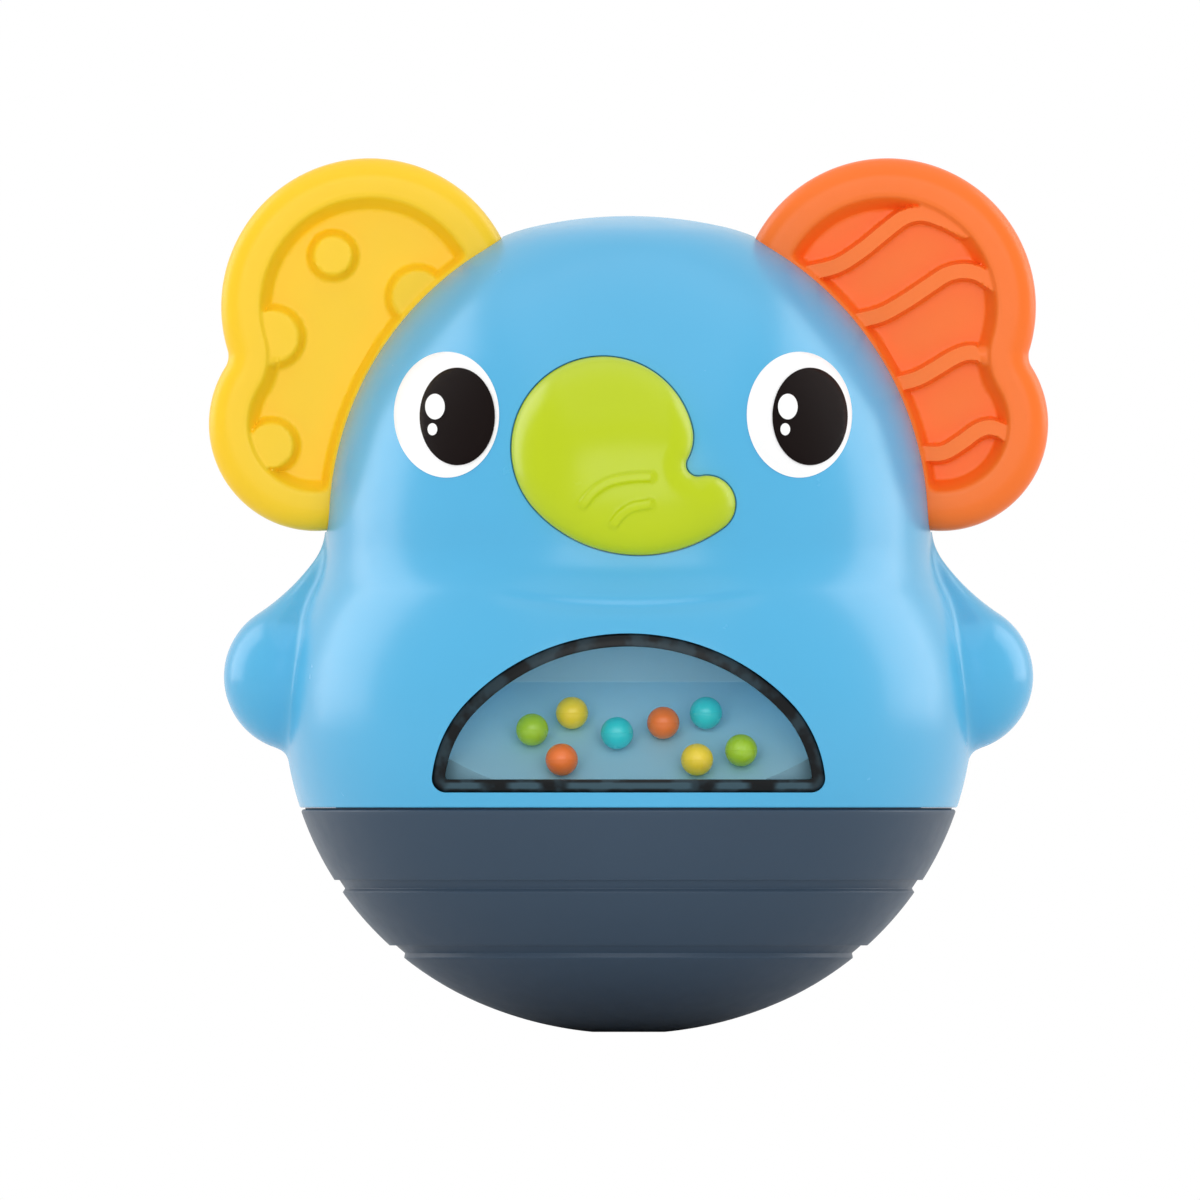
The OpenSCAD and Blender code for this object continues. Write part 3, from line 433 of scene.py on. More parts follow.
class Outline:
    """The body's outline: arcs that run smoothly into each other, as radius and height."""

    def __init__(self, b):
        self.sizes = b
        self.belly = b.belly_d / 2
        self.belly_z = self.belly - b.base_flatten
        self.head = self.belly - b.waist_step
        waist_rise = 2 * (b.belly_r + b.waist_r) * b.waist_step - b.waist_step ** 2
        self.waist_z = self.belly_z + math.sqrt(waist_rise)
        self.head_z = self.waist_z + b.head_band
        self.top = self.head_z + self.head + b.head_extra
        dome = self.top + b.crown_flat - self.head_z
        self.head_r = (self.head ** 2 + dome ** 2) / (2 * self.head)
        self.head_c = (self.head - self.head_r, self.head_z)
        self.seam_z = self.belly_z - b.seam_drop
        self.tables = {}

    def points(self, inset):
        b = self.sizes
        roll_r = self.belly + b.roll_extra
        roll_c = (0, math.sqrt(roll_r ** 2 - (b.foot_d / 2) ** 2))
        drop = roll_c[1] - self.belly_z
        low_r = self.belly + b.roll_extra / 2 - drop ** 2 / (2 * b.roll_extra)
        low_c = (self.belly - low_r, self.belly_z)
        belly_c = (self.belly - b.belly_r, self.belly_z)
        waist_c = (self.head + b.waist_r, self.waist_z)
        crown_c = (0, self.top - b.crown_r)
        shoulder_c = crossing(crown_c, b.crown_r - b.shoulder_r, self.head_c, self.head_r - b.shoulder_r)
        foot = (math.sqrt((roll_r - inset) ** 2 - (roll_c[1] - inset) ** 2), inset)
        roll_a = heading(roll_c, low_c)
        belly_a = heading(belly_c, waist_c)
        crown_a = heading(crown_c, shoulder_c)
        shoulder_a = heading(self.head_c, shoulder_c)
        step = 0.05
        band = np.linspace(self.waist_z, self.head_z, BAND_POINTS, endpoint=False)
        return np.vstack([
            arc(roll_c, roll_r - inset, heading(roll_c, foot), roll_a, step),
            arc(low_c, low_r - inset, roll_a, 0, step),
            arc(belly_c, b.belly_r - inset, 0, belly_a, step),
            arc(waist_c, b.waist_r + inset, belly_a + math.pi, math.pi, step),
            np.stack([np.full(BAND_POINTS, self.head - inset), band], axis=1),
            arc(self.head_c, self.head_r - inset, 0, shoulder_a, step),
            arc(shoulder_c, b.shoulder_r - inset, shoulder_a, crown_a, step),
            arc(crown_c, b.crown_r - inset, crown_a, math.pi / 2, step),
            [(0, self.top - inset)],
        ])

    def radius(self, z, inset=0.0):
        if inset not in self.tables:
            self.tables[inset] = self.points(inset)
        table = self.tables[inset]
        return np.interp(z, table[:, 1], table[:, 0])

    def front_y(self, points, inset=0.0):
        """Y of the front surface, or of a surface inside it, at points of X and Z."""
        return -np.sqrt(np.maximum(self.radius(points[:, 1], inset) ** 2 - np.square(points[:, 0]), 0))


class Ear:
    """Outline and faces of the ear on the right."""

    def __init__(self, e, outline, grow=0.0):
        self.sizes = e
        self.head_c, self.head_r = outline.head_c, outline.head_r
        self.up_c = polar(self.head_c, self.head_r + e.up_out, e.up_angle)
        self.low_c = polar(self.head_c, self.head_r + e.low_out, e.low_angle)
        up_r, low_r, tenon_r = e.up_r + grow, e.low_r + grow, self.head_r - e.tenon - grow
        notch_r = e.notch_r - grow
        notch_c = crossing(self.low_c, low_r + notch_r, self.up_c, up_r + notch_r)
        first = crossing(self.head_c, tenon_r, self.low_c, low_r)
        last = crossing(self.up_c, up_r, self.head_c, tenon_r)
        turn = 2 * math.pi
        low_a = heading(self.low_c, first)
        up_a = heading(self.up_c, last)
        self.outer = np.vstack([
            arc(self.low_c, low_r, low_a - turn if low_a > 0 else low_a, heading(self.low_c, notch_c)),
            arc(notch_c, notch_r, heading(notch_c, self.low_c) % turn, heading(notch_c, self.up_c) % turn),
            arc(self.up_c, up_r, heading(self.up_c, notch_c), up_a if up_a > 0 else up_a + turn),
        ])
        inner = arc(self.head_c, tenon_r, heading(self.head_c, last), heading(self.head_c, first))
        self.loop = respaced(np.vstack([self.outer, inner]), EAR_STEP)

    def thickness(self, p, relief):
        """Half thickness at each point, with the relief's height from 0 to 1."""
        e = self.sizes
        d = distances(p, self.outer)
        fall = np.maximum(e.edge - d, 0)
        half = e.thick / 2 - e.edge + np.sqrt(np.maximum(e.edge ** 2 - fall ** 2, 0))
        from_head = np.linalg.norm(p - np.array(self.head_c), axis=1) - self.head_r
        floor = eased((d - e.rim) / e.slope) * eased((from_head + HEAD_SLOPE[0]) / HEAD_SLOPE[1])
        return half - e.recess + np.maximum(e.recess * (1 - floor), e.relief * relief)


class Trunk:
    """Outline of the trunk and its crowned face."""

    def __init__(self, t, outline):
        self.sizes = t
        self.middle = np.array([0, outline.head_z + outline.head_r * math.sin(t.middle)])
        at = outline.head_r + t.stand - t.dome_r
        out = outline.head_c[0] + at * math.cos(t.middle)
        self.dome = (-out, outline.head_z + at * math.sin(t.middle))

    def loop(self, grow=0.0):
        t = self.sizes
        top_c = self.middle + TRUNK_TOP
        tip_c = self.middle + TRUNK_TIP
        notch_c = crossing(tip_c, t.tip_r + t.notch_r, top_c, t.top_r + t.notch_cut)
        corner_c = crossing(notch_c, t.notch_r + t.corner_r, top_c, t.top_r - t.corner_r)
        chin_c = crossing(tip_c, t.chin_r - t.tip_r, top_c, t.chin_r - t.top_r)
        turn = 2 * math.pi
        chin_a = heading(chin_c, top_c)
        return respaced(np.vstack([
            arc(corner_c, t.corner_r + grow, heading(corner_c, notch_c), heading(top_c, corner_c)),
            arc(top_c, t.top_r + grow, heading(top_c, corner_c), chin_a + turn),
            arc(chin_c, t.chin_r + grow, chin_a, heading(chin_c, tip_c)),
            arc(tip_c, t.tip_r + grow, heading(chin_c, tip_c), heading(tip_c, notch_c)),
            arc(notch_c, t.notch_r - grow,
                heading(tip_c, notch_c) + math.pi, heading(corner_c, notch_c) + math.pi),
        ]), 0.2)

    def wrinkles(self):
        return [curve(line) + self.middle for line in WRINKLES]

    def face(self, p):
        t = self.sizes
        across = p[:, 0] ** 2 + (p[:, 1] - self.dome[1]) ** 2
        y = self.dome[0] - np.sqrt(t.dome_r ** 2 - across)
        fall = np.maximum(1 - distances(p, closed(self.loop())) / t.edge, 0)
        y += t.drop * (1 - np.sqrt(np.maximum(1 - fall ** 2, 0)))
        for line in self.wrinkles():
            y -= t.wrinkle * eased((t.wrinkle_w / 2 + 0.15 - distances(p, line)) / 0.3)
        return y


def window_loop(w, outline, grow=0.0, step=0.25):
    """Outline of the window's frame, grown or shrunk evenly."""
    window_z = outline.seam_z + w.rise
    lift = 0.25
    half = outline.belly * math.sin(w.turn)
    side_c = np.array([half - w.side_r, window_z + lift])
    rise = w.high - lift - w.side_r
    drop = (side_c[0] ** 2 - rise ** 2) / (2 * rise)
    arch_r = w.high - lift + drop + grow
    arch_c = (0, window_z + lift - drop)
    side_r = w.side_r + grow
    corner_r = max(w.corner_r + grow, 0.2)
    up = window_z - grow + corner_r - side_c[1]
    corner_c = side_c + (math.sqrt((side_r - corner_r) ** 2 - up ** 2), up)
    right = np.vstack([
        arc(corner_c, corner_r, -math.pi / 2, heading(side_c, corner_c), 0.05),
        arc(side_c, side_r, heading(side_c, corner_c), heading(arch_c, side_c)),
        arc(arch_c, arch_r, heading(arch_c, side_c), math.pi / 2),
    ])
    return respaced(np.vstack([right, right[::-1] * (-1, 1)]), step)


# Meshes

def new_object(name, verts, faces):
    mesh = bpy.data.meshes.new(name)
    mesh.from_pydata([tuple(v) for v in np.asarray(verts) * MM], [], [tuple(f) for f in faces])
    work = bmesh.new()
    work.from_mesh(mesh)
    bmesh.ops.remove_doubles(work, verts=work.verts, dist=1e-7)
    bmesh.ops.recalc_face_normals(work, faces=work.faces)
    work.to_mesh(mesh)
    work.free()
    piece = bpy.data.objects.new(name, mesh)
    bpy.context.scene.collection.objects.link(piece)
    return piece


def pad(points, faces, count, front, back):
    """Closed mesh between a front and a back surface over a filled outline of count points."""
    size = len(points)
    verts = np.vstack([np.stack([points[:, 0], y, points[:, 1]], axis=1) for y in (front, back)])
    skin = [tuple(f) for f in faces] + [tuple(size + i for i in reversed(f)) for f in faces]
    skin += [(i, size + i, size + (i + 1) % count, (i + 1) % count) for i in range(count)]
    return verts, skin


def joined(parts):
    verts, faces, start = [], [], 0
    for v, f in parts:
        verts.append(v)
        faces += [tuple(start + i for i in face) for face in f]
        start += len(v)
    return np.vstack(verts), faces


def swept(sections):
    """Faces of a closed tube through closed sections of equal length."""
    n, m = sections.shape[:2]
    faces = [
        (i * m + j, i * m + (j + 1) % m, (i + 1) % n * m + (j + 1) % m, (i + 1) % n * m + j)
        for i in range(n) for j in range(m)]
    return sections.reshape(-1, 3), faces


def turned(profile, degrees):
    """Closed mesh of a profile of radius and height, turned around Z. It starts and ends on the axis."""
    sections = np.stack([
        np.stack([profile[:, 0] * math.cos(a), profile[:, 0] * math.sin(a), profile[:, 1]], axis=1)
        for a in np.radians(np.arange(0, 360, degrees))])
    verts, faces = swept(sections)
    count = len(profile)
    return verts, [f for f in faces if {f[0] % count, f[1] % count} != {0, count - 1}]


def cut(piece, cutters, operation="DIFFERENCE"):
    """Cuts the cutters out of a piece, or joins them to it, and removes them."""
    for cutter in cutters:
        change = piece.modifiers.new("Cut", "BOOLEAN")
        change.operation = operation
        change.solver = "EXACT"
        change.object = cutter
    bpy.context.view_layer.update()
    shaped = bpy.data.meshes.new_from_object(piece.evaluated_get(bpy.context.evaluated_depsgraph_get()))
    piece.modifiers.clear()
    old, piece.data = piece.data, shaped
    bpy.data.meshes.remove(old)
    for cutter in cutters:
        mesh = cutter.data
        bpy.data.objects.remove(cutter)
        bpy.data.meshes.remove(mesh)


def finish_piece(piece, material, nodes, body="toy", sharp=32):
    mesh = piece.data
    mesh.materials.clear()
    mesh.materials.append(material)
    mesh.shade_smooth()
    mesh.set_sharp_from_angle(angle=math.radians(sharp))
    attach(piece, body)
    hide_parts(*nodes)


# Materials

class Value:
    """Output of a shader node that can be used in Python sums."""

    def __init__(self, paint, socket):
        self.paint = paint
        self.socket = socket

    def math(self, operation, *values):
        return self.paint.node("ShaderNodeMath", {"operation": operation}, dict(enumerate(values)))

    def __add__(self, other):
        return self.math("ADD", self, other)

    def __sub__(self, other):
        return self.math("SUBTRACT", self, other)

    def __mul__(self, other):
        return self.math("MULTIPLY", self, other)

    def __pow__(self, other):
        return self.math("POWER", self, other)

    def __rsub__(self, other):
        return self.math("SUBTRACT", other, self)

    def __abs__(self):
        return self.math("ABSOLUTE", self)

    def step(self, low, high):
        """Soft step from 0 at low to 1 at high."""
        soft = {"interpolation_type": "SMOOTHSTEP"}
        return self.paint.node("ShaderNodeMapRange", soft, {0: self, 1: low, 2: high})

    def mix(self, first, second):
        """Colour between two colours."""
        return self.paint.node("ShaderNodeMix", {"data_type": "RGBA"}, {0: self, 6: first, 7: second}, 2)


class Paint:
    """Node tree of a procedural material, or of the world."""

    def __init__(self, name, kind=None):
        self.data = (bpy.data.materials if kind is None else kind).new(name)
        self.data.use_nodes = True
        self.tree = self.data.node_tree
        self.tree.nodes.clear()

    def node(self, kind, settings=None, inputs=None, output=0):
        made = self.tree.nodes.new(kind)
        for key, value in (settings or {}).items():
            setattr(made, key, value)
        for key, value in (inputs or {}).items():
            if isinstance(value, Value):
                self.tree.links.new(value.socket, made.inputs[key])
            else:
                made.inputs[key].default_value = value
        return Value(self, made.outputs[output]) if made.outputs else None

    def place(self):
        return self.node("ShaderNodeTexCoord", output="Object")

    def axes(self):
        split = self.node("ShaderNodeSeparateXYZ", {}, {0: self.place()})
        return [Value(self, s) for s in split.socket.node.outputs]

    def noise(self, scale, detail=3.0, place=None):
        return self.node("ShaderNodeTexNoise", {}, {
            "Vector": place or self.place(), "Scale": scale, "Detail": detail})

    def bump(self, height, strength, distance):
        return self.node("ShaderNodeBump", {}, {"Strength": strength, "Distance": distance, "Height": height})

    def finish(self, **inputs):
        values = {key.replace("_", " ").title().replace("Ior", "IOR"): value for key, value in inputs.items()}
        shader = self.node("ShaderNodeBsdfPrincipled", {}, values)
        self.node("ShaderNodeOutputMaterial", {}, {"Surface": shader})
        return self.data

    def seen(self):
        """1 where the camera, a reflection or a view through glass meets the surface, and 0 for its light."""
        rays = [self.node("ShaderNodeLightPath", output=ray) for ray in (
            "Is Camera Ray", "Is Glossy Ray", "Is Transmission Ray")]
        return rays[0].math("MAXIMUM", rays[0], rays[1].math("MAXIMUM", rays[1], rays[2]))


def rgba(rgb, gain=1.0):
    return tuple(min(c * gain, 1.0) for c in rgb) + (1.0,)


def plastic(name, rgb, roughness=0.32, grain=0.05, low=0.97, high=1.03, tone=None, **extra):
    """Moulded plastic: slight flow marks in the colour, uneven gloss and a fine grain. A tone function, where
    given, sets the colour's level instead of the flow marks, as with the tray's painted light and shade.
    """
    paint = Paint(name)
    level = tone(paint) if tone else paint.noise(55, 2)
    gloss, skin = paint.noise(420, 4), paint.noise(5200, 2)
    return paint.finish(
        base_color=level.mix(rgba(rgb, low), rgba(rgb, high)),
        roughness=(gloss - 0.5) * 0.14 + roughness,
        normal=paint.bump(skin, grain, GRAIN_H),
        **extra)


def tray_painted_shading(paint):
    """Painted light up the sloping floor of the tray, and painted shade on its upright back wall, which even
    out how unevenly the cavity lights them.
    """
    z = paint.axes()[2]
    # Painted light that grows up the sloping floor, and painted shade over the upright back wall above the
    # fold
    painted_light_level = z.step(TRAY_LOW * MM, TRAY_FOLD * MM) - z.step((TRAY_FOLD - 0.2) * MM, TRAY_FOLD * MM) * 0.7
    return painted_light_level + (paint.noise(90, 3) - 0.5) * 0.1


def metal(name, rgb, roughness, scale):
    """Drawn or turned metal with fine marks along its turning."""
    paint = Paint(name)
    x, y, z = paint.axes()
    rings = paint.noise(scale, 5, paint.node("ShaderNodeCombineXYZ", {}, {0: (x * x + y * y) ** 0.5, 2: z}))
    stain = paint.noise(240, 3)
    return paint.finish(
        base_color=stain.mix(rgba(rgb, 0.8), rgba(rgb, 1.05)),
        roughness=(rings - 0.5) * 0.3 + roughness,
        normal=paint.bump(rings, 0.25, 0.00008),
        metallic=1.0)


def smoked(name, dark, light, bar_z):
    """Smoked frame: dark plastic with lighter streaks that are painted reflections, and short painted
    reflections along its lower bar.
    """
    paint = Paint(name)
    x, _, z = paint.axes()
    # Lighter streaks in the colour are painted reflections
    reflection_streak = paint.noise(260, 3).step(0.47, 0.62)
    reflection_dashes = None
    # Short painted reflections at given spans along the lower bar
    for start, end in REFLECTION_DASHES:
        middle, half = (start + end) / 2 * MM, (end - start) / 2 * MM
        reflection_dash = 1 - abs(x - middle).step(half - 0.6 * MM, half + 0.6 * MM)
        reflection_dashes = reflection_dash if reflection_dashes is None else reflection_dashes + reflection_dash
    bar = 1 - abs(z - bar_z * MM).step(0.2 * MM, 0.5 * MM)
    return paint.finish(
        base_color=(reflection_streak * 0.38 + reflection_dashes * bar).mix(rgba(dark), rgba(light)),
        roughness=(paint.noise(900, 2) - 0.5) * 0.1 + 0.3,
        normal=paint.bump(paint.noise(3800, 2), 0.04, GRAIN_H),
        specular_ior_level=0.15)


def clear(name, rgb, alpha):
    """Clear lens with faint flow marks."""
    paint = Paint(name)
    flow = paint.noise(90, 3)
    return paint.finish(
        base_color=rgba(rgb),
        roughness=(flow - 0.5) * 0.06 + 0.08,
        alpha=(flow - 0.5) * 0.03 + alpha,
        normal=paint.bump(flow, 0.02, 0.0001))


# Pieces

def shell_rows(outline):
    """Rows of the outer and the inner skin from the seam to the crown, and the outer rows' normals."""
    b = outline.sizes
    low = outline.seam_z + b.seam_gap / 2
    dense = outline.points(0.0)
    dense = dense[dense[:, 1] > low + b.edge]
    along = distance_along(dense)
    stops = [0.0]
    while stops[-1] < along[-1]:
        z = np.interp(stops[-1], along, dense[:, 1])
        stops.append(stops[-1] + next(step for top, step in ROW_STEPS if z < top))
    stops[-1] = along[-1]
    outer = sampled(stops, along, dense)
    normals = -left_of(np.gradient(outer, axis=0))
    inner = outer - b.wall * normals
    inner[:, 1] = np.maximum(inner[:, 1], low + b.edge)
    normals[-1] = (0, 1)
    inner[-1] = (0, outline.top - b.wall)
    turn = np.linspace(0, math.pi / 2, EDGE_ROWS + 1)[:-1]
    edge_r = outline.radius(low + b.edge)
    edge = np.stack([edge_r - b.edge * (1 - np.sin(turn)), low + b.edge * (1 - np.cos(turn))], axis=1)
    up = np.linspace(low, low + b.edge, EDGE_ROWS, endpoint=False)
    edge_in = np.stack([np.full(EDGE_ROWS, inner[0, 0]), up], axis=1)
    normals = np.vstack([np.tile(normals[0], (EDGE_ROWS, 1)), normals])
    return np.vstack([edge, outer]), np.vstack([edge_in, inner]), normals


def arm_reach(outline, a, rows, slope, around):
    """How far an arm stands out of the body at each row and angle, with a soft corner between them."""
    reach = np.linspace(-0.5, 9.5, 121)
    ray = rows[:, 0][:, None, None] + reach[None, None, :]
    x = ray * np.abs(np.cos(around))[None, :, None]
    y = ray * np.sin(around)[None, :, None]
    z = np.broadcast_to(rows[:, 1][:, None, None], x.shape)
    hand = np.array([outline.belly - a.hand_in, outline.belly_z + a.hand_rise])
    axis = np.array([outline.head - a.shoulder_in, outline.waist_z]) - hand
    axis /= np.linalg.norm(axis)
    t = (x - hand[0]) * axis[0] + (z - hand[1]) * axis[1]
    off = np.sqrt(((x - hand[0]) * axis[1] - (z - hand[1]) * axis[0]) ** 2 + y ** 2)
    neck = (a.hand_r + a.neck_r) * np.array([math.sin(a.neck_angle), math.cos(a.neck_angle)])
    hollow = a.neck_r - np.sqrt((off - neck[0]) ** 2 + (t - neck[1]) ** 2)
    ball = np.sqrt(off ** 2 + t ** 2) - a.hand_r
    arm = np.where(np.arctan2(off, t) > a.neck_angle, ball, np.where(t < neck[1], hollow, 5))
    body = reach[None, None, :] * slope[:, None, None]
    soft = np.maximum(a.blend - np.abs(arm - body), 0) / a.blend
    depth = np.minimum(arm, body) - soft ** 2 * a.blend / 4
    end = len(reach) - 1
    k = end - np.argmax(depth[:, :, ::-1] < 0, axis=2)
    d0, d1 = (np.take_along_axis(depth, np.minimum(k + s, end)[:, :, None], 2)[:, :, 0] for s in (0, 1))
    return np.maximum(reach[k] + (reach[1] - reach[0]) * d0 / (d0 - d1), 0)


def half_shell(outline, a, rear):
    """Half of the hollow body with its arms, as a closed mesh."""
    rows, rows_in, normals = shell_rows(outline)
    side = np.concatenate([[0, 0.17], np.arange(0.6, ARM_TURN, 0.5)])
    around = np.radians(np.concatenate([side, np.linspace(ARM_TURN, 180 - ARM_TURN, 107), 180 - side[::-1]]))
    r = np.repeat(rows[:, :1], len(around), axis=1)
    arm_rows = np.where((rows[:, 1] > ARM_LOW) & (rows[:, 1] < ARM_HIGH))[0]
    near = np.where(np.abs(np.cos(around)) > math.cos(math.radians(ARM_TURN)))[0]
    r[np.ix_(arm_rows, near)] += arm_reach(outline, a, rows[arm_rows], normals[arm_rows, 0], around[near])
    r[EDGE_ROWS:-1, [0, -1]] -= PARTING_LINE
    if not rear:
        x = r * np.cos(around)
        line = CREASE_Z + CREASE_RISE * (x / CREASE_AT) ** 2
        crease = np.exp(-((rows[:, 1:] - line) / CREASE_SOFT) ** 2)
        crease = crease * (1 - smooth((np.abs(x) - CREASE_HALF) / CREASE_FADE))
        r -= outline.sizes.crease * crease * (np.abs(np.cos(around)) < 0.6)
    sign = 1 if rear else -1
    skins = [np.stack([
        radius * np.cos(around), sign * radius * np.sin(around),
        np.repeat(profile[:, 1:], len(around), axis=1)], axis=2)
        for radius, profile in ((r, rows), (np.repeat(rows_in[:, :1], len(around), axis=1), rows_in))]
    n, m = r.shape
    outer, inner = np.arange(2 * n * m).reshape(2, n, m)
    faces = []
    for i in range(n - 1):
        for j in range(m - 1):
            faces.append((outer[i, j], outer[i, j + 1], outer[i + 1, j + 1], outer[i + 1, j]))
            faces.append((inner[i, j], inner[i + 1, j], inner[i + 1, j + 1], inner[i, j + 1]))
        for j in (0, m - 1):
            faces.append((outer[i, j], outer[i + 1, j], inner[i + 1, j], inner[i, j]))
    for j in range(m - 1):
        faces.append((outer[0, j], inner[0, j], inner[0, j + 1], outer[0, j + 1]))
    return np.vstack([skin.reshape(-1, 3) for skin in skins]), faces


def ear_cutters(e, outline):
    """Blanks for the two slots that the ears sit in."""
    shape = Ear(e, outline, e.fit)
    points, faces = filled(shape.loop, 1.2, (0.3, 0.8, 1.6, 2.7))
    d = distances(points, shape.outer)
    edge = e.edge + e.fit
    half = e.thick / 2 - e.edge + np.sqrt(np.maximum(edge ** 2 - np.maximum(edge - d, 0) ** 2, 0))
    verts, skin = pad(points, faces, len(shape.loop), -half - SLOT_SPARE, half + SLOT_SPARE)
    return [new_object("slot", verts * (s, 1, 1), skin) for s in (1, -1)]


def post(loop_c, r, front, back):
    """Round bar along Y between two surfaces that are given as functions of place."""
    loop = respaced(arc(loop_c, r, 0, 2 * math.pi), 0.3)
    points, faces = filled(loop, 0.6)
    return pad(points, faces, len(loop), front(points), back(points))


class TOY_OT_body_halves(Operator):
    """Build the front and rear halves of the body with their arms"""
    bl_idname = "toy.body_halves"
    bl_label = "Body halves"

    def execute(self, context):
        outline = Outline(sizes(context, "toy_body"))
        b = outline.sizes
        blue = plastic("body_blue", context.scene.toy_colours.body, 0.24)
        arms, ears = sizes(context, "toy_arm"), sizes(context, "toy_ear")
        w, t = sizes(context, "toy_window"), sizes(context, "toy_trunk")
        front = new_object("body_front", *half_shell(outline, arms, False))
        hole = window_loop(w, outline, w.fit)
        points, faces = filled(hole, 2.0)
        far = np.full(len(points), -FAR)
        window = new_object("window_hole", *pad(points, faces, len(hole), far, far + 45))
        seat = Trunk(t, outline).loop(t.fit)
        points, faces = filled(seat, 0.8)
        far, floor = np.full(len(points), -FAR), outline.front_y(points, t.seat)
        trunk_seat = new_object("trunk_hole", *pad(points, faces, len(seat), far, floor))
        cut(front, [window, trunk_seat] + ear_cutters(ears, outline))
        finish_piece(front, blue, ["front_shell"])
        rear = new_object("body_rear", *half_shell(outline, arms, True))
        side = outline.belly * math.sin(w.turn) + SCREW_OUT
        low = outline.seam_z + SCREW_RISE
        wells = ((0, outline.top - SCREW_DROP), (side, low), (-side, low))
        bosses = [new_object("boss", *post(
            c, b.well_r + WELL_WALL,
            lambda p: np.full(len(p), 0.4),
            lambda p: -outline.front_y(p, b.wall / 2))) for c in wells]
        cut(rear, bosses, "UNION")
        bores = [new_object("bore", *post(
            c, r, lambda p: np.full(len(p), y), lambda p: np.full(len(p), FAR)))
            for c in wells for r, y in ((b.well_r, b.well_seat), (SCREW_HOLE_R, -1.0))]
        cut(rear, bores + ear_cutters(ears, outline))
        finish_piece(rear, blue, ["rear_shell"])
        return {"FINISHED"}


class TOY_OT_base(Operator):
    """Build the rounded base with its two grooves"""
    bl_idname = "toy.base"
    bl_label = "Base"

    def execute(self, context):
        s = sizes(context, "toy_base")
        outline = Outline(sizes(context, "toy_body"))
        edge = outline.sizes.edge
        top = outline.seam_z - outline.sizes.seam_gap / 2
        dense = outline.points(0.0)
        dense = dense[dense[:, 1] < top - edge]
        z = dense[:, 1]
        depth = sum(
            smooth((z - low) / s.soft + 0.5) * smooth((low + s.groove_h - z) / s.soft + 0.5)
            for low in (s.low_z, s.up_z))
        outer = dense + s.groove * depth[:, None] * left_of(np.gradient(dense, axis=0))
        fine = np.abs(np.gradient(depth)) > 1e-4
        keep = fine | (np.arange(len(z)) % 10 == 0)
        keep[[0, -1]] = True
        turn = np.linspace(0, math.pi / 2, 6)[1:]
        rim_r = outline.radius(top - edge)
        rim = np.stack([rim_r - edge * (1 - np.cos(turn)), top - edge * (1 - np.sin(turn))], axis=1)
        shelf = top - s.shelf
        collar = [
            (outline.radius(z, inset), z) for z, inset in (
                (top, s.lip_in), (top + s.lip_h, s.lip_in), (top + s.lip_h, s.collar_in),
                (top + s.collar_h, s.collar_in), (top + s.collar_h, s.collar_in + s.collar_w),
                (shelf, s.collar_in + s.collar_w), (shelf, s.wall))]
        inner = outline.points(s.wall)
        inner = inner[inner[:, 1] < shelf - 0.2][::-20]
        profile = np.vstack([[(0, 0)], outer[keep], rim, collar, inner, [(0, s.wall)]])
        piece = new_object("base", *turned(profile, 1.5))
        navy = plastic("base_navy", context.scene.toy_colours.base, 0.4, specular_ior_level=0.22)
        finish_piece(piece, navy, ["base_bowl"], sharp=60)
        return {"FINISHED"}


class TOY_OT_ears(Operator):
    """Build the yellow ear with dots and the orange ear with waves"""
    bl_idname = "toy.ears"
    bl_label = "Ears"

    def execute(self, context):
        e = sizes(context, "toy_ear")
        outline = Outline(sizes(context, "toy_body"))
        shape = Ear(e, outline)
        lobes = {"up": shape.up_c, "low": shape.low_c}
        dots = [(lobes[lobe] + place, r) for lobe, place, r in DOTS]
        edges = np.vstack([
            arc(c, r - into, 0, 2 * math.pi, 0.3) for c, r in dots for into in (-0.1, 0.2, 0.45, 0.7, 1.0)])
        waves = [curve(line) + lobes[lobe] for lobe, line in WAVES]
        half_w = e.wave_w / 2
        across = np.array((0.3, 0.55, 0.66, 0.75, 0.84, 0.93, 0.99, 1.06)) * half_w
        sides = np.vstack([beside(w[::6], np.concatenate([-across, across])) for w in waves])

        def dotted(points):
            rises = [(r - np.linalg.norm(points - c, axis=1)) / DOT_SIDE for c, r in dots]
            return np.max([eased(rise) for rise in rises], axis=0)

        def waved(points):
            return np.max([eased((half_w - distances(points, w)) / WAVE_SIDE) for w in waves], axis=0)

        colours = context.scene.toy_colours
        ears = (
            ("ear_left", -1, dotted, edges, colours.yellow, "ear_yellow", "left_ear"),
            ("ear_right", 1, waved, sides, colours.orange, "ear_orange", "right_ear"))
        for name, side, relief, extras, rgb, slot, node in ears:
            points, faces = filled(shape.loop, 0.28, EAR_RINGS, extras)
            half = shape.thickness(points, relief(points))
            verts, skin = pad(points, faces, len(shape.loop), -half, half)
            piece = new_object(name, verts * (side, 1, 1), skin)
            finish_piece(piece, plastic(slot, rgb, 0.34, specular_ior_level=0.3), [node], sharp=60)
        return {"FINISHED"}


class TOY_OT_trunk(Operator):
    """Build the trunk with its two wrinkles"""
    bl_idname = "toy.trunk"
    bl_label = "Trunk"

    def execute(self, context):
        t = sizes(context, "toy_trunk")
        outline = Outline(sizes(context, "toy_body"))
        shape = Trunk(t, outline)
        loop = shape.loop()
        sides = np.array((-0.8, -0.68, -0.55, -0.42, -0.3, 0, 0.3, 0.42, 0.55, 0.68, 0.8))
        extras = np.vstack([beside(line[::6], sides) for line in shape.wrinkles()])
        points, faces = filled(loop, 0.35, (0.04, 0.12, 0.24, 0.4, 0.6, 0.85, 1.1, 1.4, 1.7), extras)
        back = outline.front_y(points, t.seat - 0.05)
        front = np.minimum(shape.face(points), back - 0.3)
        piece = new_object("trunk_pad", *pad(points, faces, len(loop), front, back))
        colours = context.scene.toy_colours
        lime = plastic("trunk_lime", colours.trunk, 0.24, 0.03, specular_ior_level=0.35)
        finish_piece(piece, lime, ["trunk"], sharp=50)
        return {"FINISHED"}


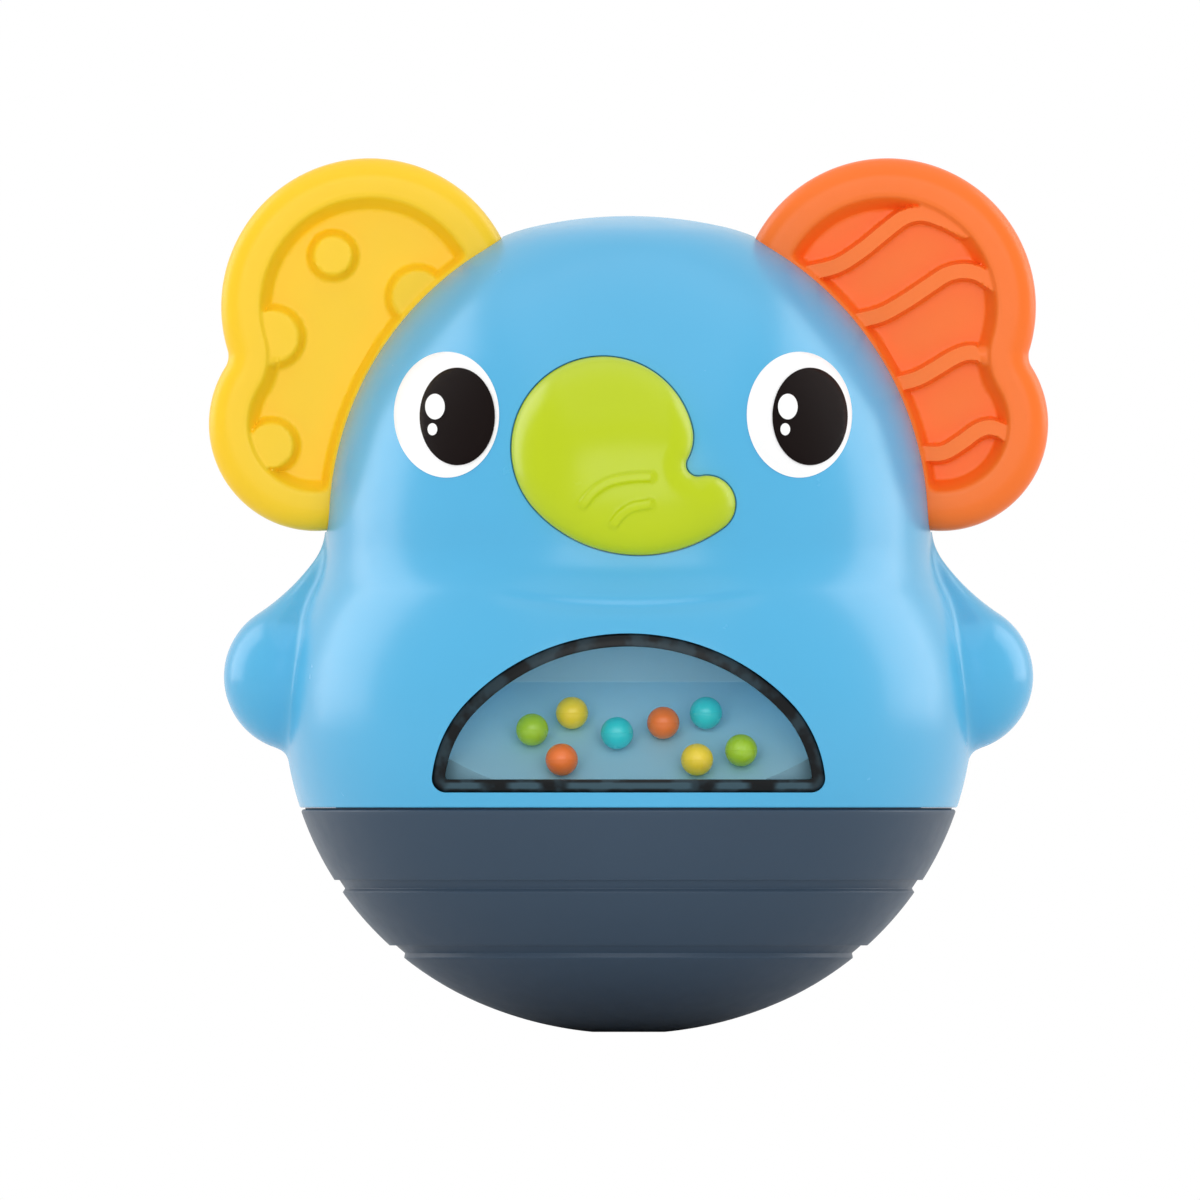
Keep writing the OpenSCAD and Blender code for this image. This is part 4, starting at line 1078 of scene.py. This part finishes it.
class TOY_OT_eyes(Operator):
    """Build the printed eyes in three layers"""
    bl_idname = "toy.eyes"
    bl_label = "Eyes"

    def execute(self, context):
        s = sizes(context, "toy_eye")
        outline = Outline(sizes(context, "toy_body"))
        colours = context.scene.toy_colours
        layers = (
            ("eye_white_prints", colours.white, "print_white", "eye_whites",
             (((0, 0), s.white_w, s.white_h),)),
            ("eye_pupil_prints", colours.black, "print_black", "eye_pupils",
             ((PUPIL_AT, s.pupil_w, s.pupil_h),)),
            ("eye_glint_prints", colours.white, "print_white", "eye_glints", GLINTS))
        turn = np.linspace(0, 2 * math.pi, 96, endpoint=False)
        for level, (name, rgb, slot, node, ovals) in enumerate(layers):
            low = level * (s.layer + PRINT_GAP) + PRINT_GAP
            top = low + s.layer
            parts = []
            for side in (-1, 1):
                eye = np.array([s.shift + side * outline.head * math.sin(s.turn), outline.head_z + s.rise])
                for at, wide, high in ovals:
                    ring = np.stack([wide * np.cos(turn), high * np.sin(turn)], axis=1)
                    loop = eye + at + ring
                    points, faces = filled(loop, max(0.25, wide / 9))
                    count = len(loop)
                    front = outline.front_y(points, -top)
                    front[:count] = outline.front_y(points[:count], -(top - s.layer / 2))
                    back = outline.front_y(points, -low)
                    parts.append(pad(points, faces, count, front, back))
            piece = new_object(name, *joined(parts))
            ink = plastic(name, rgb, 0.45, 0.02, 0.985, 1.015, specular_ior_level=0.05)
            finish_piece(piece, ink, [node], sharp=50)
        return {"FINISHED"}


class TOY_OT_window(Operator):
    """Build the smoked window frame and the clear lens"""
    bl_idname = "toy.window"
    bl_label = "Window"

    def execute(self, context):
        w = sizes(context, "toy_window")
        outline = Outline(sizes(context, "toy_body"))
        colours = context.scene.toy_colours
        section = (
            (0, w.depth), (0, w.sink + 0.2), (0.06, w.sink + 0.06), (0.2, w.sink), (w.bezel_w - 0.2, w.sink),
            (w.bezel_w - 0.06, w.sink + 0.06), (w.bezel_w, w.sink + 0.2), (w.bezel_w, w.depth))
        rings = []
        for into, inset in section:
            # Each ring starts at the middle of the lower bar, so that the rings line up
            loop = respaced(window_loop(w, outline, -into, 0.02), 0.3)
            start = np.argmin(np.abs(loop[:, 0]) + np.where(loop[:, 1] > 35, 99, 0))
            loop = respaced(np.roll(loop, -int(start), axis=0), 0.3)
            share = np.linspace(0, len(loop), 480, endpoint=False)
            loop = sampled(share, np.arange(len(loop) + 1), closed(loop))
            rings.append(np.stack([loop[:, 0], outline.front_y(loop, inset), loop[:, 1]], axis=1))
        verts, faces = swept(np.stack(rings, axis=1))
        frame_piece = new_object("window_frame", verts, faces)
        # The frame's colour carries painted reflections as streaks and as dashes along its lower bar
        smoke = smoked("bezel_smoke", colours.smoke, colours.reflection_streak, outline.seam_z + w.rise + w.bezel_w / 2)
        finish_piece(frame_piece, smoke, ["window_bezel"])
        loop = window_loop(w, outline, -w.bezel_w - w.fit)
        points, faces = filled(loop, 0.8, (0.1, 0.25))
        edge = np.where(np.arange(len(points)) < len(loop), 0.12, 0)
        front = outline.front_y(points, w.sink + 0.05) + edge
        back = outline.front_y(points, w.depth)
        lens = new_object("window_pane", *pad(points, faces, len(loop), front, back))
        finish_piece(lens, clear("lens_clear", colours.lens, 0.028), ["window_lens"])
        return {"FINISHED"}


class TOY_OT_beads(Operator):
    """Build the eight loose beads"""
    bl_idname = "toy.beads"
    bl_label = "Beads"

    def execute(self, context):
        colours = context.scene.toy_colours
        up = np.radians(np.concatenate([np.arange(-90, -5, 5), np.linspace(-5, 5, 11), np.arange(10, 91, 5)]))
        ridge = BEAD_RIDGE * np.exp(-(np.degrees(up) / 1.6) ** 2)
        shades = {
            shade: plastic("bead_" + shade, getattr(colours, "bead_" + shade), 0.26, 0.03)
            for shade in ("green", "yellow", "orange", "turquoise")}
        for name in BEADS:
            lo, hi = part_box("bead_" + name)
            middle = np.array((lo + hi) / 2) / MM
            r = (hi.x - lo.x) / 2 / MM - BEAD_RIDGE + ridge
            verts, faces = turned(np.stack([r * np.cos(up), r * np.sin(up)], axis=1), 6)
            piece = new_object("loose_bead_" + name, verts + middle, faces)
            shade = name.split("_")[0]
            finish_piece(piece, shades[shade], ["bead_" + name], name)
        return {"FINISHED"}


class TOY_OT_inner_parts(Operator):
    """Give the tray, counterweight, cover and screws their materials"""
    bl_idname = "toy.inner_parts"
    bl_label = "Inner parts"

    def execute(self, context):
        colours = context.scene.toy_colours
        steel = metal("screw_steel", colours.steel, 0.34, 3000)
        looks = {
            # The tray's colour carries painted light up its floor and painted shade on its back wall
            "bead_tray": plastic("tray_blue", colours.tray, 0.55, 0.02, 0.9, 1.2, tray_painted_shading),
            "counterweight": metal("weight_iron", colours.iron, 0.5, 1800),
            "weight_cover": plastic("cover_dark", colours.cover, 0.5, 0.1),
            "shell_screws": steel, "trunk_screws": steel, "tray_screws": steel, "cover_screws": steel,
        }
        for node, material in looks.items():
            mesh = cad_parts[node].data
            mesh.materials.clear()
            mesh.materials.append(material)
        return {"FINISHED"}


class TOY_OT_stage(Operator):
    """Set up the floor, lights and camera"""
    bl_idname = "toy.stage"
    bl_label = "Stage"

    def execute(self, context):
        scene = context.scene
        turn = np.linspace(0, 2 * math.pi, 64, endpoint=False)
        ring = [(FLOOR_R * math.cos(a), FLOOR_R * math.sin(a), 0) for a in turn]
        floor = new_object("floor", ring, [tuple(range(len(ring)))])
        paint = Paint("floor_white")
        x, y = paint.axes()[:2]
        tone = paint.noise(3, 2).mix((0.9, 0.9, 0.9, 1), (0.93, 0.93, 0.93, 1))
        board = paint.node("ShaderNodeBsdfPrincipled", {}, {"Base Color": tone, "Roughness": 0.9})
        white = paint.node("ShaderNodeEmission", {}, {"Color": WHITE})
        far = ((x * x + y * y) ** 0.5).step(*FLOOR_FADE) * paint.seen()
        mixed = paint.node("ShaderNodeMixShader", {}, {0: far, 1: board, 2: white})
        paint.node("ShaderNodeOutputMaterial", {}, {"Surface": mixed})
        floor.data.materials.append(paint.data)
        lights = (
            ("front", (0, -2.2, 0.55), (2.4, 1.3), 20), ("top", (0, -0.3, 1.3), (1.8, 1.8), 5.5),
            ("left", (-0.75, 0.3, 0.3), (0.5, 1.0), 3.2), ("right", (0.75, 0.3, 0.3), (0.5, 1.0), 3.2))
        for name, place, size, power in lights:
            light = bpy.data.lights.new(name, "AREA")
            light.shape = "RECTANGLE"
            light.size, light.size_y = size
            light.energy = power
            lamp = bpy.data.objects.new(name, light)
            lamp.location = place
            lamp.rotation_euler = (Vector(LIT_PLACE) - Vector(place)).to_track_quat("-Z", "Y").to_euler()
            scene.collection.objects.link(lamp)
        studio = Paint("studio", bpy.data.worlds)
        glow, backdrop = (
            studio.node("ShaderNodeBackground", {}, {"Color": WHITE, "Strength": level})
            for level in (AMBIENT, BACKDROP))
        mixed = studio.node("ShaderNodeMixShader", {}, {0: studio.seen(), 1: glow, 2: backdrop})
        studio.node("ShaderNodeOutputWorld", {}, {"Surface": mixed})
        scene.world = studio.data
        scene.view_settings.view_transform = "Standard"
        lens = bpy.data.cameras.new("camera")
        lens.type = "ORTHO"
        lens.ortho_scale = 0.14012
        camera = bpy.data.objects.new("camera", lens)
        camera.location = (-0.00333, -1, 0.05044)
        camera.rotation_euler = (math.pi / 2, 0, 0)
        scene.collection.objects.link(camera)
        scene.camera = camera
        return {"FINISHED"}


STEPS = (
    TOY_OT_body_halves, TOY_OT_base, TOY_OT_ears, TOY_OT_trunk, TOY_OT_eyes,
    TOY_OT_window, TOY_OT_beads, TOY_OT_inner_parts, TOY_OT_stage,
)


class TOY_PT_sidebar(Panel):
    """Steps and sizes of the toy"""
    bl_idname = "TOY_PT_sidebar"
    bl_label = "Roly poly toy"
    bl_space_type = "VIEW_3D"
    bl_region_type = "UI"
    bl_category = "Toy"

    def draw(self, context):
        for step in STEPS:
            self.layout.operator(step.bl_idname)
        for name in GROUPS:
            group = getattr(context.scene, name)
            box = self.layout.box()
            box.label(text=name.replace("_", " ").capitalize())
            for key in group.__annotations__:
                box.prop(group, key)


def register():
    for name, group in GROUPS.items():
        bpy.utils.register_class(group)
        setattr(bpy.types.Scene, name, PointerProperty(type=group))
    for kind in STEPS + (TOY_PT_sidebar,):
        bpy.utils.register_class(kind)


def unregister():
    for kind in reversed(STEPS + (TOY_PT_sidebar,)):
        bpy.utils.unregister_class(kind)
    for name, group in reversed(GROUPS.items()):
        delattr(bpy.types.Scene, name)
        bpy.utils.unregister_class(group)


def main():
    register()
    bpy.ops.toy.body_halves()
    bpy.ops.toy.base()
    bpy.ops.toy.ears()
    bpy.ops.toy.trunk()
    bpy.ops.toy.eyes()
    bpy.ops.toy.window()
    bpy.ops.toy.beads()
    bpy.ops.toy.inner_parts()
    bpy.ops.toy.stage()


if __name__ == "__main__":
    main()
